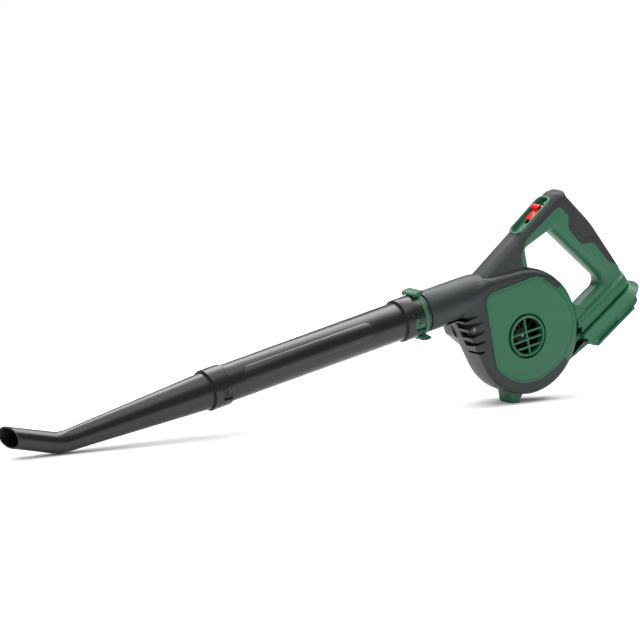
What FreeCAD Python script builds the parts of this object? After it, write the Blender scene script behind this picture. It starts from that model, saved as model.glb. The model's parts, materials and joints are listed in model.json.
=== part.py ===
import FreeCAD, Part
import Sketcher
import math
import os

from FreeCAD import Placement, Rotation, Vector

# Handheld battery leaf blower. The tool is drawn level in its own frame: x along the
# air tube with the nozzle at -x, z up, y = 0 on the split plane, origin on the fan axis.
# Every body then gets the same stance: pitched nose down by tool_slope, with the fan axis
# fan_height over the ground and fan_setback behind the middle of the foot, so that it
# stands on its foot and on the bend of its nozzle.

doc = FreeCAD.newDocument("LeafBlower")
sheet = doc.addObject("Spreadsheet::Sheet", "Sizes")

dimensions = {
    # stance
    "tool_slope": 12.0, "fan_height": 88.0, "fan_setback": 8.5,
    # fan casing: a bottom arc and a slightly larger rear arc, each with its own centre
    "casing_radius": 78.0, "casing_half": 25.0, "casing_wall": 2.6, "casing_round": 6.0,
    "scroll_shift": 6.5, "rear_growth": 2.0, "rear_shift": 4.0, "rear_lift": 5.0,
    "far_round": 9.0, "far_step": 10.0, "far_depth": 21.5, "rim_depth": 14.0,
    "cowl_start": 14.0, "cowl_half": 37.0,
    # air duct and outlet
    "duct_height": 69.0, "outlet_radius": 26.25, "outlet_bore": 20.5, "outlet_face": 134.5,
    "duct_start": 87.0,
    # lock ring and tubes
    "ring_gap": 6.5, "ring_width": 5.0, "sleeve_wall": 2.0, "sleeve_length": 24.0,
    "collar_radius": 27.5, "collar_wall": 2.1, "collar_length": 27.0, "turn_fit": 0.3,
    "shoulder": 1.8, "tube_radius": 24.7, "tube_length": 268.0, "tube_end_radius": 23.95,
    "tube_wall": 2.0, "pin_radius": 2.6, "pin_set": 13.0, "slot_room": 0.7,
    "nozzle_radius": 23.5, "tip_radius": 13.3, "tip_length": 74.0, "tip_rise": 23.0,
    "nozzle_wall": 1.8, "washer": 0.8,
    # front bar, grip and hand opening
    "bar_front": 18.0, "bar_half": 17.0, "bar_depth": 17.2, "skin": 2.5,
    "rim_width": 8.7, "opening_rise": 22.0, "shell_wall": 2.6, "bar_slope": 28.2, "cap_start": 90.0,
    # switch on the bar
    "bezel_half": 14.0, "bezel_length": 68.0, "bezel_depth": 6.5, "slide_travel": 12.0,
    # battery base
    "base_slope": 25.0, "shelf_half": 22.0, "skirt_top_half": 24.5, "flange_half": 33.0,
    "rail_half": 33.0, "waist_half": 19.0, "neck_half": 29.0, "shelf_end": 172.0,
    "flange_end": 180.0, "shelf_top": 41.2, "shelf_low": 57.7, "flange_top": 61.2,
    "flange_low": 70.5, "rail_top": 79.2, "rail_low": 83.2,
    # covers and fan
    "cover_thickness": 2.0, "inlet_radius": 24.6, "bar_width": 2.5, "fan_radius": 57.0,
    "fan_depth": 22.0, "blade": 2.0, "hub_radius": 9.0, "motor_cover_radius": 52.0,
    "motor_cover_depth": 23.0,
    # motor
    "motor_face": 11.0, "can_radius": 20.0, "can_wall": 1.5, "shaft_radius": 2.5,
    "bearing_radius": 8.0, "bearing_width": 5.0, "running_fit": 0.05, "rotor_radius": 12.5,
    # foot
    "foot_length": 11.0, "foot_top": 20.0, "foot_half": 14.0,
    "seat_gap": 0.1,
    # fasteners
    "screw_radius": 1.5, "screw_head": 3.0, "boss_radius": 4.2, "head_sink": 3.0,
    "screw_bite": 12.0, "motor_screw_set": 14.0,
}


class Size:
    # A length that carries its number and the sheet expression that drives it.
    def __init__(self, number, text):
        self.number = number
        self.text = text

    def join(self, other, sign, number):
        return Size(number, "(%s %s %s)" % (self.text, sign, text_of(other)))

    def __add__(self, other):
        return self.join(other, "+", self.number + number_of(other))

    def __sub__(self, other):
        return self.join(other, "-", self.number - number_of(other))

    def __mul__(self, other):
        return self.join(other, "*", self.number * number_of(other))

    def __truediv__(self, other):
        return self.join(other, "/", self.number / number_of(other))

    def __rsub__(self, other):
        return -self + other

    def __neg__(self):
        return Size(-self.number, "(0 - %s)" % self.text)

    __radd__ = __add__
    __rmul__ = __mul__


def number_of(value):
    return value.number if isinstance(value, Size) else float(value)


def text_of(value):
    return value.text if isinstance(value, Size) else "%.6g" % value


def cosine(angle):
    return Size(math.cos(math.radians(number_of(angle))), "cos(%s * 1 deg)" % text_of(angle))


def sine(angle):
    return Size(math.sin(math.radians(number_of(angle))), "sin(%s * 1 deg)" % text_of(angle))


def fill_sheet():
    for row, (alias, number) in enumerate(dimensions.items(), start=1):
        sheet.set("A%d" % row, alias)
        sheet.set("B%d" % row, str(number))
        sheet.setAlias("B%d" % row, alias)
    doc.recompute()


def cell(alias):
    return Size(float(sheet.get(alias)), "Sizes.%s" % alias)


def bind(thing, prop, value):
    if isinstance(value, Size):
        thing.setExpression(prop, value.text)


# ---- placing ----

def new_body(name, along=0.0, across=0.0, up=0.0, tilt=0.0, level=False):
    body = doc.addObject("PartDesign::Body", name)
    body.Label = name
    if not level:
        body.Placement = Placement(Vector(0, 0, 0), Rotation(Vector(0, -1, 0), 1.0))
        slope = cell("tool_slope")
        bind(body, "Placement.Base.x", cosine(slope) * along - sine(slope) * up + cell("fan_setback"))
        bind(body, "Placement.Base.y", across)
        bind(body, "Placement.Base.z", sine(slope) * along + cosine(slope) * up + cell("fan_height"))
        bind(body, "Placement.Rotation.Angle", slope + tilt)
    return body


def origin_part(body, role):
    return next(part for part in body.Origin.OriginFeatures if part.Role == role)


def new_sketch(body, name, plane="XZ_Plane", offset=0.0):
    sketch = body.newObject("Sketcher::SketchObject", body.Name + "_" + name)
    sketch.AttachmentSupport = [(origin_part(body, plane), "")]
    sketch.MapMode = "FlatFace"
    sketch.AttachmentOffset = Placement(Vector(0, 0, number_of(offset)), Rotation())
    bind(sketch, "AttachmentOffset.Base.z", offset)
    return sketch


def base_sketch(body, name, height):
    # A sketch parallel to the battery base, at a height over the base's own axis.
    slope = cell("base_slope")
    sketch = body.newObject("Sketcher::SketchObject", body.Name + "_" + name)
    sketch.AttachmentSupport = [(origin_part(body, "XY_Plane"), "")]
    sketch.MapMode = "FlatFace"
    sketch.AttachmentOffset = Placement(Vector(0, 0, 0), Rotation(Vector(0, -1, 0), slope.number))
    bind(sketch, "AttachmentOffset.Base.x", -(sine(slope) * height))
    bind(sketch, "AttachmentOffset.Base.z", cosine(slope) * height)
    bind(sketch, "AttachmentOffset.Rotation.Angle", slope)
    return sketch


# ---- outlines ----

def fix_reach(sketch, kind, geo, pos, value):
    index = sketch.addConstraint(Sketcher.Constraint(kind, -1, 1, geo, pos, number_of(value)))
    bind(sketch, "Constraints[%d]" % index, value)


def fix_point(sketch, geo, pos, x, z):
    fix_reach(sketch, "DistanceX", geo, pos, x)
    fix_reach(sketch, "DistanceY", geo, pos, z)


def fix_radius(sketch, geo, radius):
    index = sketch.addConstraint(Sketcher.Constraint("Radius", geo, number_of(radius)))
    bind(sketch, "Constraints[%d]" % index, radius)


def circle(sketch, x, z, radius):
    centre = Vector(number_of(x), number_of(z), 0)
    geo = sketch.addGeometry(Part.Circle(centre, Vector(0, 0, 1), number_of(radius)), False)
    fix_point(sketch, geo, 3, x, z)
    fix_radius(sketch, geo, radius)


def corner(x, z, radius=0.0):
    return ("corner", x, z, radius)


def disc(x, z, radius, turn=1):
    return ("disc", x, z, radius, turn)


def tangent_line(first, second):
    # The line of a belt that leaves one element and reaches the next. A disc with turn 1
    # lies left of the belt's travel, and one with turn -1 lies right of it.
    def reach(element):
        if element[0] == "disc":
            return number_of(element[3]) * element[4]
        return 0.0
    start = Vector(number_of(first[1]), number_of(first[2]), 0)
    end = Vector(number_of(second[1]), number_of(second[2]), 0)
    span = end - start
    swing = math.asin((reach(first) - reach(second)) / span.Length)
    heading = math.atan2(span.y, span.x) + swing
    right = Vector(math.sin(heading), -math.cos(heading), 0)
    return start + right * reach(first), end + right * reach(second)


def outline(sketch, elements):
    # Closed outline, travelled anticlockwise, as lines joined by tangent arcs.
    count = len(elements)
    lines = [tangent_line(elements[i], elements[(i + 1) % count]) for i in range(count)]
    joints = []
    for i, element in enumerate(elements):
        before = lines[i - 1]
        after = lines[i]
        ahead = (before[1] - before[0]).normalize()
        next_ahead = (after[1] - after[0]).normalize()
        cross = ahead.x * next_ahead.y - ahead.y * next_ahead.x
        if element[0] == "disc":
            centre = Vector(number_of(element[1]), number_of(element[2]), 0)
            joints.append(("arc", centre, before[1], after[0], element[4]))
        elif number_of(element[3]) > 0:
            turn = 1 if cross > 0 else -1
            angle = math.acos(max(-1.0, min(1.0, ahead.dot(next_ahead))))
            setback = number_of(element[3]) * math.tan(angle / 2)
            start = before[1] - ahead * setback
            end = before[1] + next_ahead * setback
            centre = start + Vector(-ahead.y, ahead.x, 0) * number_of(element[3]) * turn
            joints.append(("arc", centre, start, end, turn))
        else:
            joints.append(("point", None, before[1], before[1], 1))
    line_ids = []
    for i in range(count):
        start = joints[i][3]
        end = joints[(i + 1) % count][2]
        line_ids.append(sketch.addGeometry(Part.LineSegment(start, end), False))
    for i, (kind, centre, start, end, turn) in enumerate(joints):
        x, z, radius = elements[i][1:4]
        before = line_ids[i - 1]
        after = line_ids[i]
        if kind == "point":
            sketch.addConstraint(Sketcher.Constraint("Coincident", before, 2, after, 1))
            fix_point(sketch, after, 1, x, z)
            continue
        first, last = (start, end) if turn > 0 else (end, start)
        angles = [math.atan2(point.y - centre.y, point.x - centre.x) for point in (first, last)]
        if angles[1] < angles[0]:
            angles[1] += 2 * math.pi
        ring = Part.Circle(centre, Vector(0, 0, 1), number_of(radius))
        arc = sketch.addGeometry(Part.ArcOfCircle(ring, angles[0], angles[1]), False)
        enter, leave = (1, 2) if turn > 0 else (2, 1)
        sketch.addConstraint(Sketcher.Constraint("Tangent", before, 2, arc, enter))
        sketch.addConstraint(Sketcher.Constraint("Tangent", arc, leave, after, 1))
        fix_radius(sketch, arc, radius)
        if elements[i][0] == "disc":
            fix_point(sketch, arc, 3, x, z)
        else:
            spot = Vector(number_of(x), number_of(z), 0)
            point = sketch.addGeometry(Part.Point(spot), True)
            fix_point(sketch, point, 1, x, z)
            sketch.addConstraint(Sketcher.Constraint("PointOnObject", point, 1, before))
            sketch.addConstraint(Sketcher.Constraint("PointOnObject", point, 1, after))


def box_outline(sketch, low_x, low_z, high_x, high_z, radius=0.0):
    outline(sketch, [corner(low_x, low_z, radius), corner(high_x, low_z, radius),
                     corner(high_x, high_z, radius), corner(low_x, high_z, radius)])


# ---- features ----

def add_feature(body, kind, name, sketch):
    feature = body.newObject("PartDesign::" + kind, body.Name + "_" + name)
    feature.Profile = sketch
    sketch.Visibility = False
    return feature


def pad(body, sketch, length, back=False, both=False):
    feature = add_feature(body, "Pad", "pad_" + sketch.Name.split("_")[-1], sketch)
    feature.Length = number_of(length)
    bind(feature, "Length", length)
    feature.Reversed = back
    feature.Midplane = both
    return feature


def pocket(body, sketch, length=None, back=False, both=False):
    feature = add_feature(body, "Pocket", "cut_" + sketch.Name.split("_")[-1], sketch)
    if length is None:
        feature.Type = "ThroughAll"
    else:
        feature.Length = number_of(length)
        bind(feature, "Length", length)
    feature.Reversed = back
    feature.Midplane = both
    return feature


def revolve(body, sketch, angle=360.0, both=False, cut=False, axis="X_Axis", back=False):
    feature = add_feature(body, "Groove" if cut else "Revolution", "turn_" + sketch.Name.split("_")[-1],
                          sketch)
    feature.ReferenceAxis = (origin_part(body, axis), [""])
    feature.Angle = number_of(angle)
    feature.Midplane = both
    feature.Reversed = back
    return feature


def around(body, features, count, axis="X_Axis"):
    pattern = body.newObject("PartDesign::PolarPattern", body.Name + "_around")
    pattern.Originals = features
    pattern.Axis = (origin_part(body, axis), [""])
    pattern.Angle = 360
    pattern.Occurrences = count
    body.Tip = pattern
    return pattern


def ring_profile(sketch, x_low, r_low, x_high, r_high):
    outline(sketch, [corner(x_low, r_low), corner(x_high, r_low), corner(x_high, r_high),
                     corner(x_low, r_high)])


fill_sheet()

wall = cell("casing_wall")
rear_radius = cell("casing_radius") + cell("rear_growth")
duct_top = cell("duct_height") + cell("outlet_radius")
duct_low = cell("duct_height") - cell("outlet_radius")
outlet_x = -cell("outlet_face")
band_x = outlet_x - cell("ring_gap")
collar_x = band_x - cell("ring_width") - cell("turn_fit")
collar_front = collar_x - cell("collar_length")
collar_bore = cell("collar_radius") - cell("collar_wall")
sleeve_radius = collar_bore - cell("turn_fit")
spigot_radius = sleeve_radius - cell("sleeve_wall") - cell("seat_gap")
nozzle_collar_x = collar_front - cell("tube_length")
nozzle_bore = cell("tube_end_radius") + cell("turn_fit")
nozzle_collar_front = nozzle_collar_x - cell("collar_length")
opening_front = cell("bar_front") + cell("rim_width")
casing_top = cell("rear_lift") + rear_radius
bar_low = casing_top + cell("opening_rise")
bar_top = bar_low + cell("bar_depth")
bar_rise = sine(cell("bar_slope")) / cosine(cell("bar_slope"))
cap_top = bar_top + bar_rise * (cell("cap_start") - cell("bar_front"))

boss_set = cell("casing_radius") - cell("casing_wall") - cell("boss_radius") - 1.0

# Screws that close the casing and the handle: along, up.
casing_screws = [(-76.0, 31.0), (cell("scroll_shift") - 0.88 * boss_set, -0.47 * boss_set),
                 (cell("scroll_shift") - 0.11 * boss_set, -0.99 * boss_set),
                 (cell("rear_shift") + 0.8 * (boss_set + 4.0), cell("rear_lift") - 0.6 * (boss_set + 4.0))]
handle_screws = [(84.0, 126.0), (122.0, 66.0)]


# ---- fan casing ----

def casing_outline(inset):
    return [corner(-cell("duct_start") + inset, duct_top - inset),
            corner(-cell("duct_start") + inset, duct_low + inset),
            disc(cell("scroll_shift"), 0.0, cell("casing_radius") - inset),
            disc(cell("rear_shift"), cell("rear_lift"), rear_radius - inset),
            corner(-cell("duct_start") * 0.7, duct_top - inset)]


def cowl_outline():
    # The hump on the motor side that runs from the motor cover up to the duct.
    front = -cell("duct_start")
    return [corner(front + 1.0, 44.0), corner(front + 2.5, 30.0), corner(front + 4.0, 20.5, 5.0),
            corner(front + 25.0, -4.5), corner(-44.0, -26.0), corner(-24.0, 44.0)]


def bar_front_outline():
    # The dark front end of the bar, from the duct up to the handle's seam.
    front = cell("bar_front") - (bar_top - duct_top) / bar_rise
    return [corner(front, duct_top - 6.0), corner(cell("bar_front"), casing_top - 6.0),
            corner(cell("bar_front"), bar_top), corner(front, duct_top)]


def build_casing(name, left):
    body = new_body(name)
    shell = new_sketch(body, "shell")
    outline(shell, casing_outline(0.0))
    shell_pad = pad(body, shell, cell("casing_half"), back=not left)
    doc.recompute()
    face_y = -number_of(cell("casing_half")) if left else number_of(cell("casing_half"))
    duct_edge = 1.0 - number_of(cell("duct_start"))
    rim = []
    for number, edge in enumerate(shell_pad.Shape.Edges, start=1):
        box = edge.BoundBox
        if abs(box.YMin - face_y) < 1e-3 and abs(box.YMax - face_y) < 1e-3 and box.XMax > duct_edge:
            rim.append("Edge%d" % number)
    rounding = body.newObject("PartDesign::Fillet", name + "_rounding")
    rounding.Base = (shell_pad, rim)
    radius = cell("casing_round") if left else cell("far_round")
    rounding.Radius = number_of(radius)
    bind(rounding, "Radius", radius)
    if not left:
        cowl = new_sketch(body, "cowl", offset=-cell("cowl_start"))
        outline(cowl, cowl_outline())
        pad(body, cowl, cell("cowl_half") - cell("cowl_start"), back=True)
    bar = new_sketch(body, "bar")
    outline(bar, bar_front_outline())
    pad(body, bar, cell("bar_half"), back=not left)
    # Round outlet with its neck and spigot, half a turn about the duct.
    duct = new_sketch(body, "duct")
    axis_z = cell("duct_height")
    outline(duct, [corner(-cell("duct_start") + 6.0, axis_z),
                   corner(-cell("duct_start") + 6.0, axis_z + cell("outlet_radius")),
                   corner(outlet_x, axis_z + cell("outlet_radius")),
                   corner(outlet_x, axis_z + sleeve_radius),
                   corner(band_x, axis_z + sleeve_radius), corner(band_x, axis_z + spigot_radius),
                   corner(band_x - cell("sleeve_length"), axis_z + spigot_radius),
                   corner(band_x - cell("sleeve_length"), axis_z)][::-1])
    half_turn(body, duct, left)
    bore = new_sketch(body, "bore")
    outline(bore, [corner(-cell("duct_start") + 12.0, axis_z),
                   corner(-cell("duct_start") + 12.0, axis_z + cell("outlet_bore")),
                   corner(band_x - cell("sleeve_length") - 1.0, axis_z + cell("outlet_bore")),
                   corner(band_x - cell("sleeve_length") - 1.0, axis_z)][::-1])
    half_turn(body, bore, left, cut=True)
    chamber = new_sketch(body, "chamber")
    outline(chamber, casing_outline(wall)[1:4]
            + [corner(-cell("duct_start") + 8.0, cell("duct_height") + cell("outlet_bore")),
               corner(-cell("duct_start") + wall, cell("duct_height") + cell("outlet_bore"))])
    pocket(body, chamber, cell("casing_half") - wall if left else cell("rim_depth"), back=left)
    if not left:
        # The far side is rounded more, so its chamber steps in towards the motor.
        deep = new_sketch(body, "deep")
        outline(deep, casing_outline(cell("far_step"))[1:4]
                + [corner(-cell("duct_start") + 20.0, cell("duct_height") + cell("outlet_bore") - 8.0),
                   corner(-cell("duct_start") + cell("far_step"), cell("duct_height"))])
        pocket(body, deep, cell("far_depth"))
        seat = new_sketch(body, "seat", offset=-cell("casing_half"))
        circle(seat, 0.0, 0.0, cell("motor_cover_radius") + cell("turn_fit"))
        pocket(body, seat, cell("cowl_half") - cell("casing_half") + 1.0)
    inlet = new_sketch(body, "inlet")
    if left:
        circle(inlet, 0.0, 0.0, cell("inlet_radius") + 3.0)
    else:
        circle(inlet, 0.0, 0.0, cell("can_radius") + cell("turn_fit"))
    pocket(body, inlet, None, back=left)
    screw_seats(body, casing_screws, cell("casing_half"), left,
                cell("casing_half") - 1.0 if left else cell("rim_depth") + 1.0)
    return body


def half_turn(body, sketch, left, cut=False):
    # Half a turn about the duct's axis, drawn in the sketch as a construction line.
    height = number_of(cell("duct_height"))
    axle = sketch.addGeometry(Part.LineSegment(Vector(-200, height, 0), Vector(-100, height, 0)), True)
    fix_point(sketch, axle, 1, -200.0, cell("duct_height"))
    fix_point(sketch, axle, 2, -100.0, cell("duct_height"))
    doc.recompute()
    feature = add_feature(body, "Groove" if cut else "Revolution", "turn_" + sketch.Name.split("_")[-1], sketch)
    feature.ReferenceAxis = (sketch, ["Axis0"])
    feature.Angle = 180
    feature.Reversed = not left
    return feature


# ---- handle ----

def silhouette(inset):
    # Back of the grip, the cap and the top of the bar, from the base to the seam.
    return [corner(167.5 - inset, 43.0),
            corner(136.5 - inset, bar_top - 14.5, 150.0),
            corner(105.5 - inset, bar_top + 31.5, 12.0),
            corner(103.5 - inset, cap_top - inset, 5.0),
            corner(cell("cap_start"), cap_top - inset, 16.0),
            corner(cell("bar_front"), bar_top - inset)]


def inner_edge():
    # From the seam on the casing round the hand opening and down the casing's back.
    reach = cell("casing_radius") + 1.5
    return [corner(cell("bar_front"), casing_top + 1.2),
            corner(opening_front, casing_top - 2.0),
            corner(opening_front, bar_low, 4.0),
            corner(71.0, bar_low + 13.0, 8.0),
            corner(141.0, 27.5, 10.0),
            corner(cell("rear_shift") + rear_radius + 2.0, 2.0),
            disc(cell("scroll_shift"), 0.0, cell("casing_radius") + 0.4, -1),
            corner(cell("scroll_shift") + reach * 0.74, -(reach * 0.673)),
            corner(100.0, -41.0), corner(176.0, -4.0)]


def grip_seam():
    # Where the green shell meets the soft grip, from the base to the front seam.
    return [corner(149.0, 54.0, 8.0), corner(132.0, 84.5, 6.0), corner(112.0, 88.5, 8.0),
            corner(97.0, bar_top - 11.0, 10.0), corner(100.5, bar_top + 6.0, 8.0),
            corner(88.5, bar_top + 23.0, 8.0), corner(29.0, bar_top - 6.0, 14.0),
            corner(cell("bar_front"), bar_top - 21.0)]


def bar_sketch(body, name, offset=0.0):
    # A side sketch that lies along the top of the bar, starting at its front seam.
    sketch = new_sketch(body, name)
    sketch.AttachmentOffset = Placement(Vector(0, 0, number_of(offset)), Rotation(Vector(0, 0, 1), 1.0))
    bind(sketch, "AttachmentOffset.Base.x", cell("bar_front"))
    bind(sketch, "AttachmentOffset.Base.y", bar_top)
    bind(sketch, "AttachmentOffset.Rotation.Angle", cell("bar_slope"))
    return sketch


def plate(body, name, low, high, half, start, end, front_round, rear_round, left):
    # One layer of the battery base, drawn in plan on one side of the split plane.
    sketch = base_sketch(body, name, -low)
    side = -1.0 if left else 1.0
    points = [corner(start, 0.0), corner(end, 0.0), corner(end, half * side, rear_round),
              corner(start, half * side, front_round)]
    outline(sketch, points[::-1] if left else points)
    return pad(body, sketch, low - high)


def skirt(body, left):
    # The flared skirt over the battery, ruled from its narrow top to its wide foot.
    side = -1.0 if left else 1.0
    rings = []
    for name, level, half, start, end, front_round, rear_round in (
            ("foot", cell("flange_low"), cell("flange_half"), 60.0, cell("flange_end"), 8.0, 24.0),
            ("brow", cell("flange_top"), cell("skirt_top_half"), 63.0, cell("flange_end") - 4.0, 6.0, 19.0)):
        ring = base_sketch(body, name, -level)
        points = [corner(start, 0.0), corner(end, 0.0), corner(end, half * side, rear_round),
                  corner(start, half * side, front_round)]
        outline(ring, points[::-1] if left else points)
        rings.append(ring)
    doc.recompute()
    feature = add_feature(body, "AdditiveLoft", "skirt", rings[0])
    feature.Sections = [rings[1]]
    feature.Ruled = True
    rings[1].Visibility = False
    return feature


def build_handle(name, left):
    body = new_body(name)
    core = new_sketch(body, "core")
    outline(core, inner_edge() + silhouette(cell("skin")))
    pad(body, core, cell("bar_half") - cell("skin"), back=not left)
    green = new_sketch(body, "green")
    outline(green, inner_edge() + silhouette(0.0)[:1] + grip_seam())
    pad(body, green, cell("bar_half"), back=not left)
    plate(body, "shelf", cell("shelf_low"), cell("shelf_top"), cell("shelf_half"), 62.0,
          cell("shelf_end"), 6.0, 20.0, left)
    plate(body, "waist", cell("flange_top") + 2.0, cell("shelf_low") - 2.0, cell("waist_half"), 66.0,
          cell("shelf_end") - 4.0, 6.0, 18.0, left)
    skirt(body, left)
    plate(body, "neck", cell("rail_low"), cell("flange_low") - 1.0, cell("neck_half"), 72.0,
          cell("shelf_end") - 6.0, 4.0, 6.0, left)
    plate(body, "rail", cell("rail_low"), cell("rail_top"), cell("rail_half"), 76.0,
          cell("shelf_end") - 8.0, 4.0, 6.0, left)
    room = new_sketch(body, "room")
    outline(room, casing_outline(-cell("turn_fit")))
    cover_room = cell("cover_thickness") if left else 0.0
    pocket(body, room, cell("casing_half") + cell("turn_fit") + cover_room, back=left)
    channel = new_sketch(body, "channel")
    outline(channel, [corner(24.0, bar_low + 4.5), corner(60.0, bar_low + 15.0),
                      corner(74.5, bar_low + 16.0, 3.0), corner(143.5, 31.0, 3.0),
                      corner(137.5, 12.5), corner(161.0, 23.5), corner(156.0, 46.0),
                      corner(135.5, bar_top - 27.0, 60.0), corner(103.0, bar_top + 23.0, 8.0),
                      corner(99.0, cap_top - 7.3, 4.0), corner(85.0, cap_top - 8.8),
                      corner(24.0, bar_top - 2.7)])
    pocket(body, channel, cell("bar_half") - cell("skin") - cell("shell_wall"), back=left)
    notch = bar_sketch(body, "notch")
    box_outline(notch, 4.8, -cell("bezel_depth"), cell("bezel_length") + 6.2, 12.0)
    pocket(body, notch, None, back=left)
    bay = base_sketch(body, "bay", -cell("shelf_top") - cell("shell_wall"))
    side = -1.0 if left else 1.0
    bay_half = (cell("waist_half") - cell("shell_wall")) * side
    points = [corner(86.0, 0.0), corner(160.0, 0.0), corner(160.0, bay_half, 3.0),
              corner(86.0, bay_half, 3.0)]
    outline(bay, points[::-1] if left else points)
    pocket(body, bay, cell("flange_low") - cell("shelf_top") - cell("shell_wall") * 2.0)
    well = base_sketch(body, "well", -cell("shelf_top") - cell("shell_wall"))
    points = [corner(99.8, 0.0), corner(140.2, 0.0), corner(140.2, 15.2 * side), corner(99.8, 15.2 * side)]
    outline(well, points[::-1] if left else points)
    pocket(body, well, None)
    screw_seats(body, handle_screws, cell("bar_half"), left, cell("bar_half") - cell("skin") - 0.5)
    return body


def build_overmold():
    body = new_body("grip_overmold")
    band = new_sketch(body, "band")
    outline(band, grip_seam()[::-1] + silhouette(0.0))
    pad(body, band, cell("bar_half") * 2.0, both=True)
    core = new_sketch(body, "core")
    outline(core, inner_edge() + silhouette(cell("skin")))
    pocket(body, core, (cell("bar_half") - cell("skin")) * 2.0, both=True)
    window = bar_sketch(body, "window")
    box_outline(window, 4.8, -cell("bezel_depth"), cell("bezel_length") + 6.2, 14.0)
    pocket(body, window, cell("bezel_half") * 2.0 + 0.4, both=True)


# ---- switch ----

def bar_body(name):
    return new_body(name, along=cell("bar_front"), up=bar_top, tilt=cell("bar_slope"))


def build_switch():
    low = -cell("bezel_depth")
    floor = low + 2.4
    bezel = bar_body("switch_bezel")
    frame = new_sketch(bezel, "frame")
    box_outline(frame, 5.0, low, cell("bezel_length") + 6.0, 1.2)
    pad(bezel, frame, cell("bezel_half") * 2.0, both=True)
    recess = new_sketch(bezel, "recess")
    box_outline(recess, 9.0, floor, cell("bezel_length") + 2.0, 4.0)
    pocket(bezel, recess, cell("bezel_half") * 2.0 - 7.0, both=True)
    slot = new_sketch(bezel, "slot")
    box_outline(slot, 40.0 - cell("slide_travel"), low - 1.0, 51.0, floor + 1.0)
    pocket(bezel, slot, 8.0, both=True)
    slider = bar_body("switch_slider")
    tongue = new_sketch(slider, "plate")
    box_outline(tongue, 33.0, floor + 0.3, 60.0, floor + 2.0)
    pad(slider, tongue, 18.0, both=True)
    knob = new_sketch(slider, "knob")
    outline(knob, [corner(48.0, floor + 1.0), corner(58.0, floor + 1.0), corner(57.0, 3.0, 1.5),
                   corner(50.0, 3.0, 2.0)])
    pad(slider, knob, 16.0, both=True)
    stem = new_sketch(slider, "stem")
    box_outline(stem, 42.0, low - 4.0, 49.0, floor + 1.0)
    pad(slider, stem, 6.0, both=True)
    module = bar_body("switch_module")
    case = new_sketch(module, "case")
    box_outline(case, 26.0, low - 11.0, 58.0, low - 0.05)
    pad(module, case, 18.0, both=True)
    track = new_sketch(module, "track")
    box_outline(track, 40.0 - cell("slide_travel"), low - 5.0, 51.0, low + 1.0)
    pocket(module, track, 8.0, both=True)


# ---- covers, foot ----

def build_fan_cover():
    body = new_body("fan_cover")
    sheet_side = new_sketch(body, "face", offset=cell("casing_half"))
    scale = cell("casing_radius") / 78.0
    outline(sheet_side, [disc(scale * 2.0, 0.0, scale * 61.0), disc(scale * 14.0, scale * 4.0, scale * 61.0),
                         disc(scale * 25.0, scale * 49.0, scale * 22.0),
                         disc(scale * -40.0, scale * 57.0, scale * 13.0),
                         disc(scale * -30.0, scale * -20.0, scale * 24.0)])
    pad(body, sheet_side, cell("cover_thickness"))
    hole = new_sketch(body, "hole", offset=cell("casing_half"))
    circle(hole, 0.0, 0.0, cell("inlet_radius"))
    pocket(body, hole, None, back=True)
    ring = new_sketch(body, "ring", offset=cell("casing_half"))
    circle(ring, 0.0, 0.0, cell("inlet_radius"))
    circle(ring, 0.0, 0.0, cell("inlet_radius") + 2.0)
    pad(body, ring, cell("cover_thickness") + 1.5)
    bars = new_sketch(body, "bars", offset=cell("casing_half"))
    reach = cell("inlet_radius") + 1.0
    pitch = cell("inlet_radius") * 0.39
    for step in (-1.5, -0.5, 0.5, 1.5):
        middle = pitch * step
        half_span = reach * math.sqrt(1 - (0.39 * step) ** 2)
        box_outline(bars, -half_span, middle - cell("bar_width") / 2.0, half_span,
                    middle + cell("bar_width") / 2.0)
    pad(body, bars, cell("cover_thickness"))
    upright = new_sketch(body, "upright", offset=cell("casing_half"))
    box_outline(upright, -cell("bar_width") / 2.0, -reach, cell("bar_width") / 2.0, reach)
    pad(body, upright, cell("cover_thickness"))


def build_motor_cover():
    body = new_body("motor_cover")
    cup = new_sketch(body, "cup", plane="XY_Plane")
    rim = cell("casing_half")
    back = rim + cell("motor_cover_depth")
    outer = cell("motor_cover_radius")
    thick = cell("shell_wall")
    outline(cup, [corner(outer - thick, rim), corner(outer, rim), corner(outer - 4.0, back, 9.0),
                  corner(0.0, back), corner(0.0, back - thick), corner(outer - 4.0 - thick, back - thick, 7.0)])
    revolve(body, cup, axis="Y_Axis")
    cradle = new_sketch(body, "cradle", plane="XY_Plane")
    box_outline(cradle, cell("can_radius") + cell("seat_gap"), rim + 2.0,
                cell("can_radius") + cell("seat_gap") + thick, back - 1.0)
    revolve(body, cradle, axis="Y_Axis")
    vent = new_sketch(body, "vent", offset=-back)
    box_outline(vent, 28.0, -2.0, outer - 16.0, 2.0)
    cut = pocket(body, vent, thick + 1.0, back=True)
    around(body, [cut], 10, axis="Y_Axis")
    bores = new_sketch(body, "bores", offset=-back)
    for side in (-1.0, 1.0):
        circle(bores, cell("motor_screw_set") * side, 0.0, cell("screw_radius") + 0.1)
    pocket(body, bores, thick + 1.0, back=True)


def build_foot():
    body = new_body("stand_foot", level=True)
    block = new_sketch(body, "block")
    low = -(cell("foot_length") / 2.0)
    top = cell("fan_height") - cell("casing_radius") * 0.92
    outline(block, [corner(low, 0.0, 2.0), corner(low + cell("foot_length"), 0.0, 1.0),
                    corner(low + cell("foot_top"), top), corner(low - 4.0, top)])
    pad(body, block, cell("foot_half") * 2.0, both=True)
    seat = new_sketch(body, "seat")
    circle(seat, cosine(cell("tool_slope")) * cell("scroll_shift") + cell("fan_setback"),
           cell("fan_height") + sine(cell("tool_slope")) * cell("scroll_shift"),
           cell("casing_radius") + cell("seat_gap"))
    pocket(body, seat, cell("foot_half") * 2.0 + 4.0, both=True)


# ---- motor and fan ----

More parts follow.
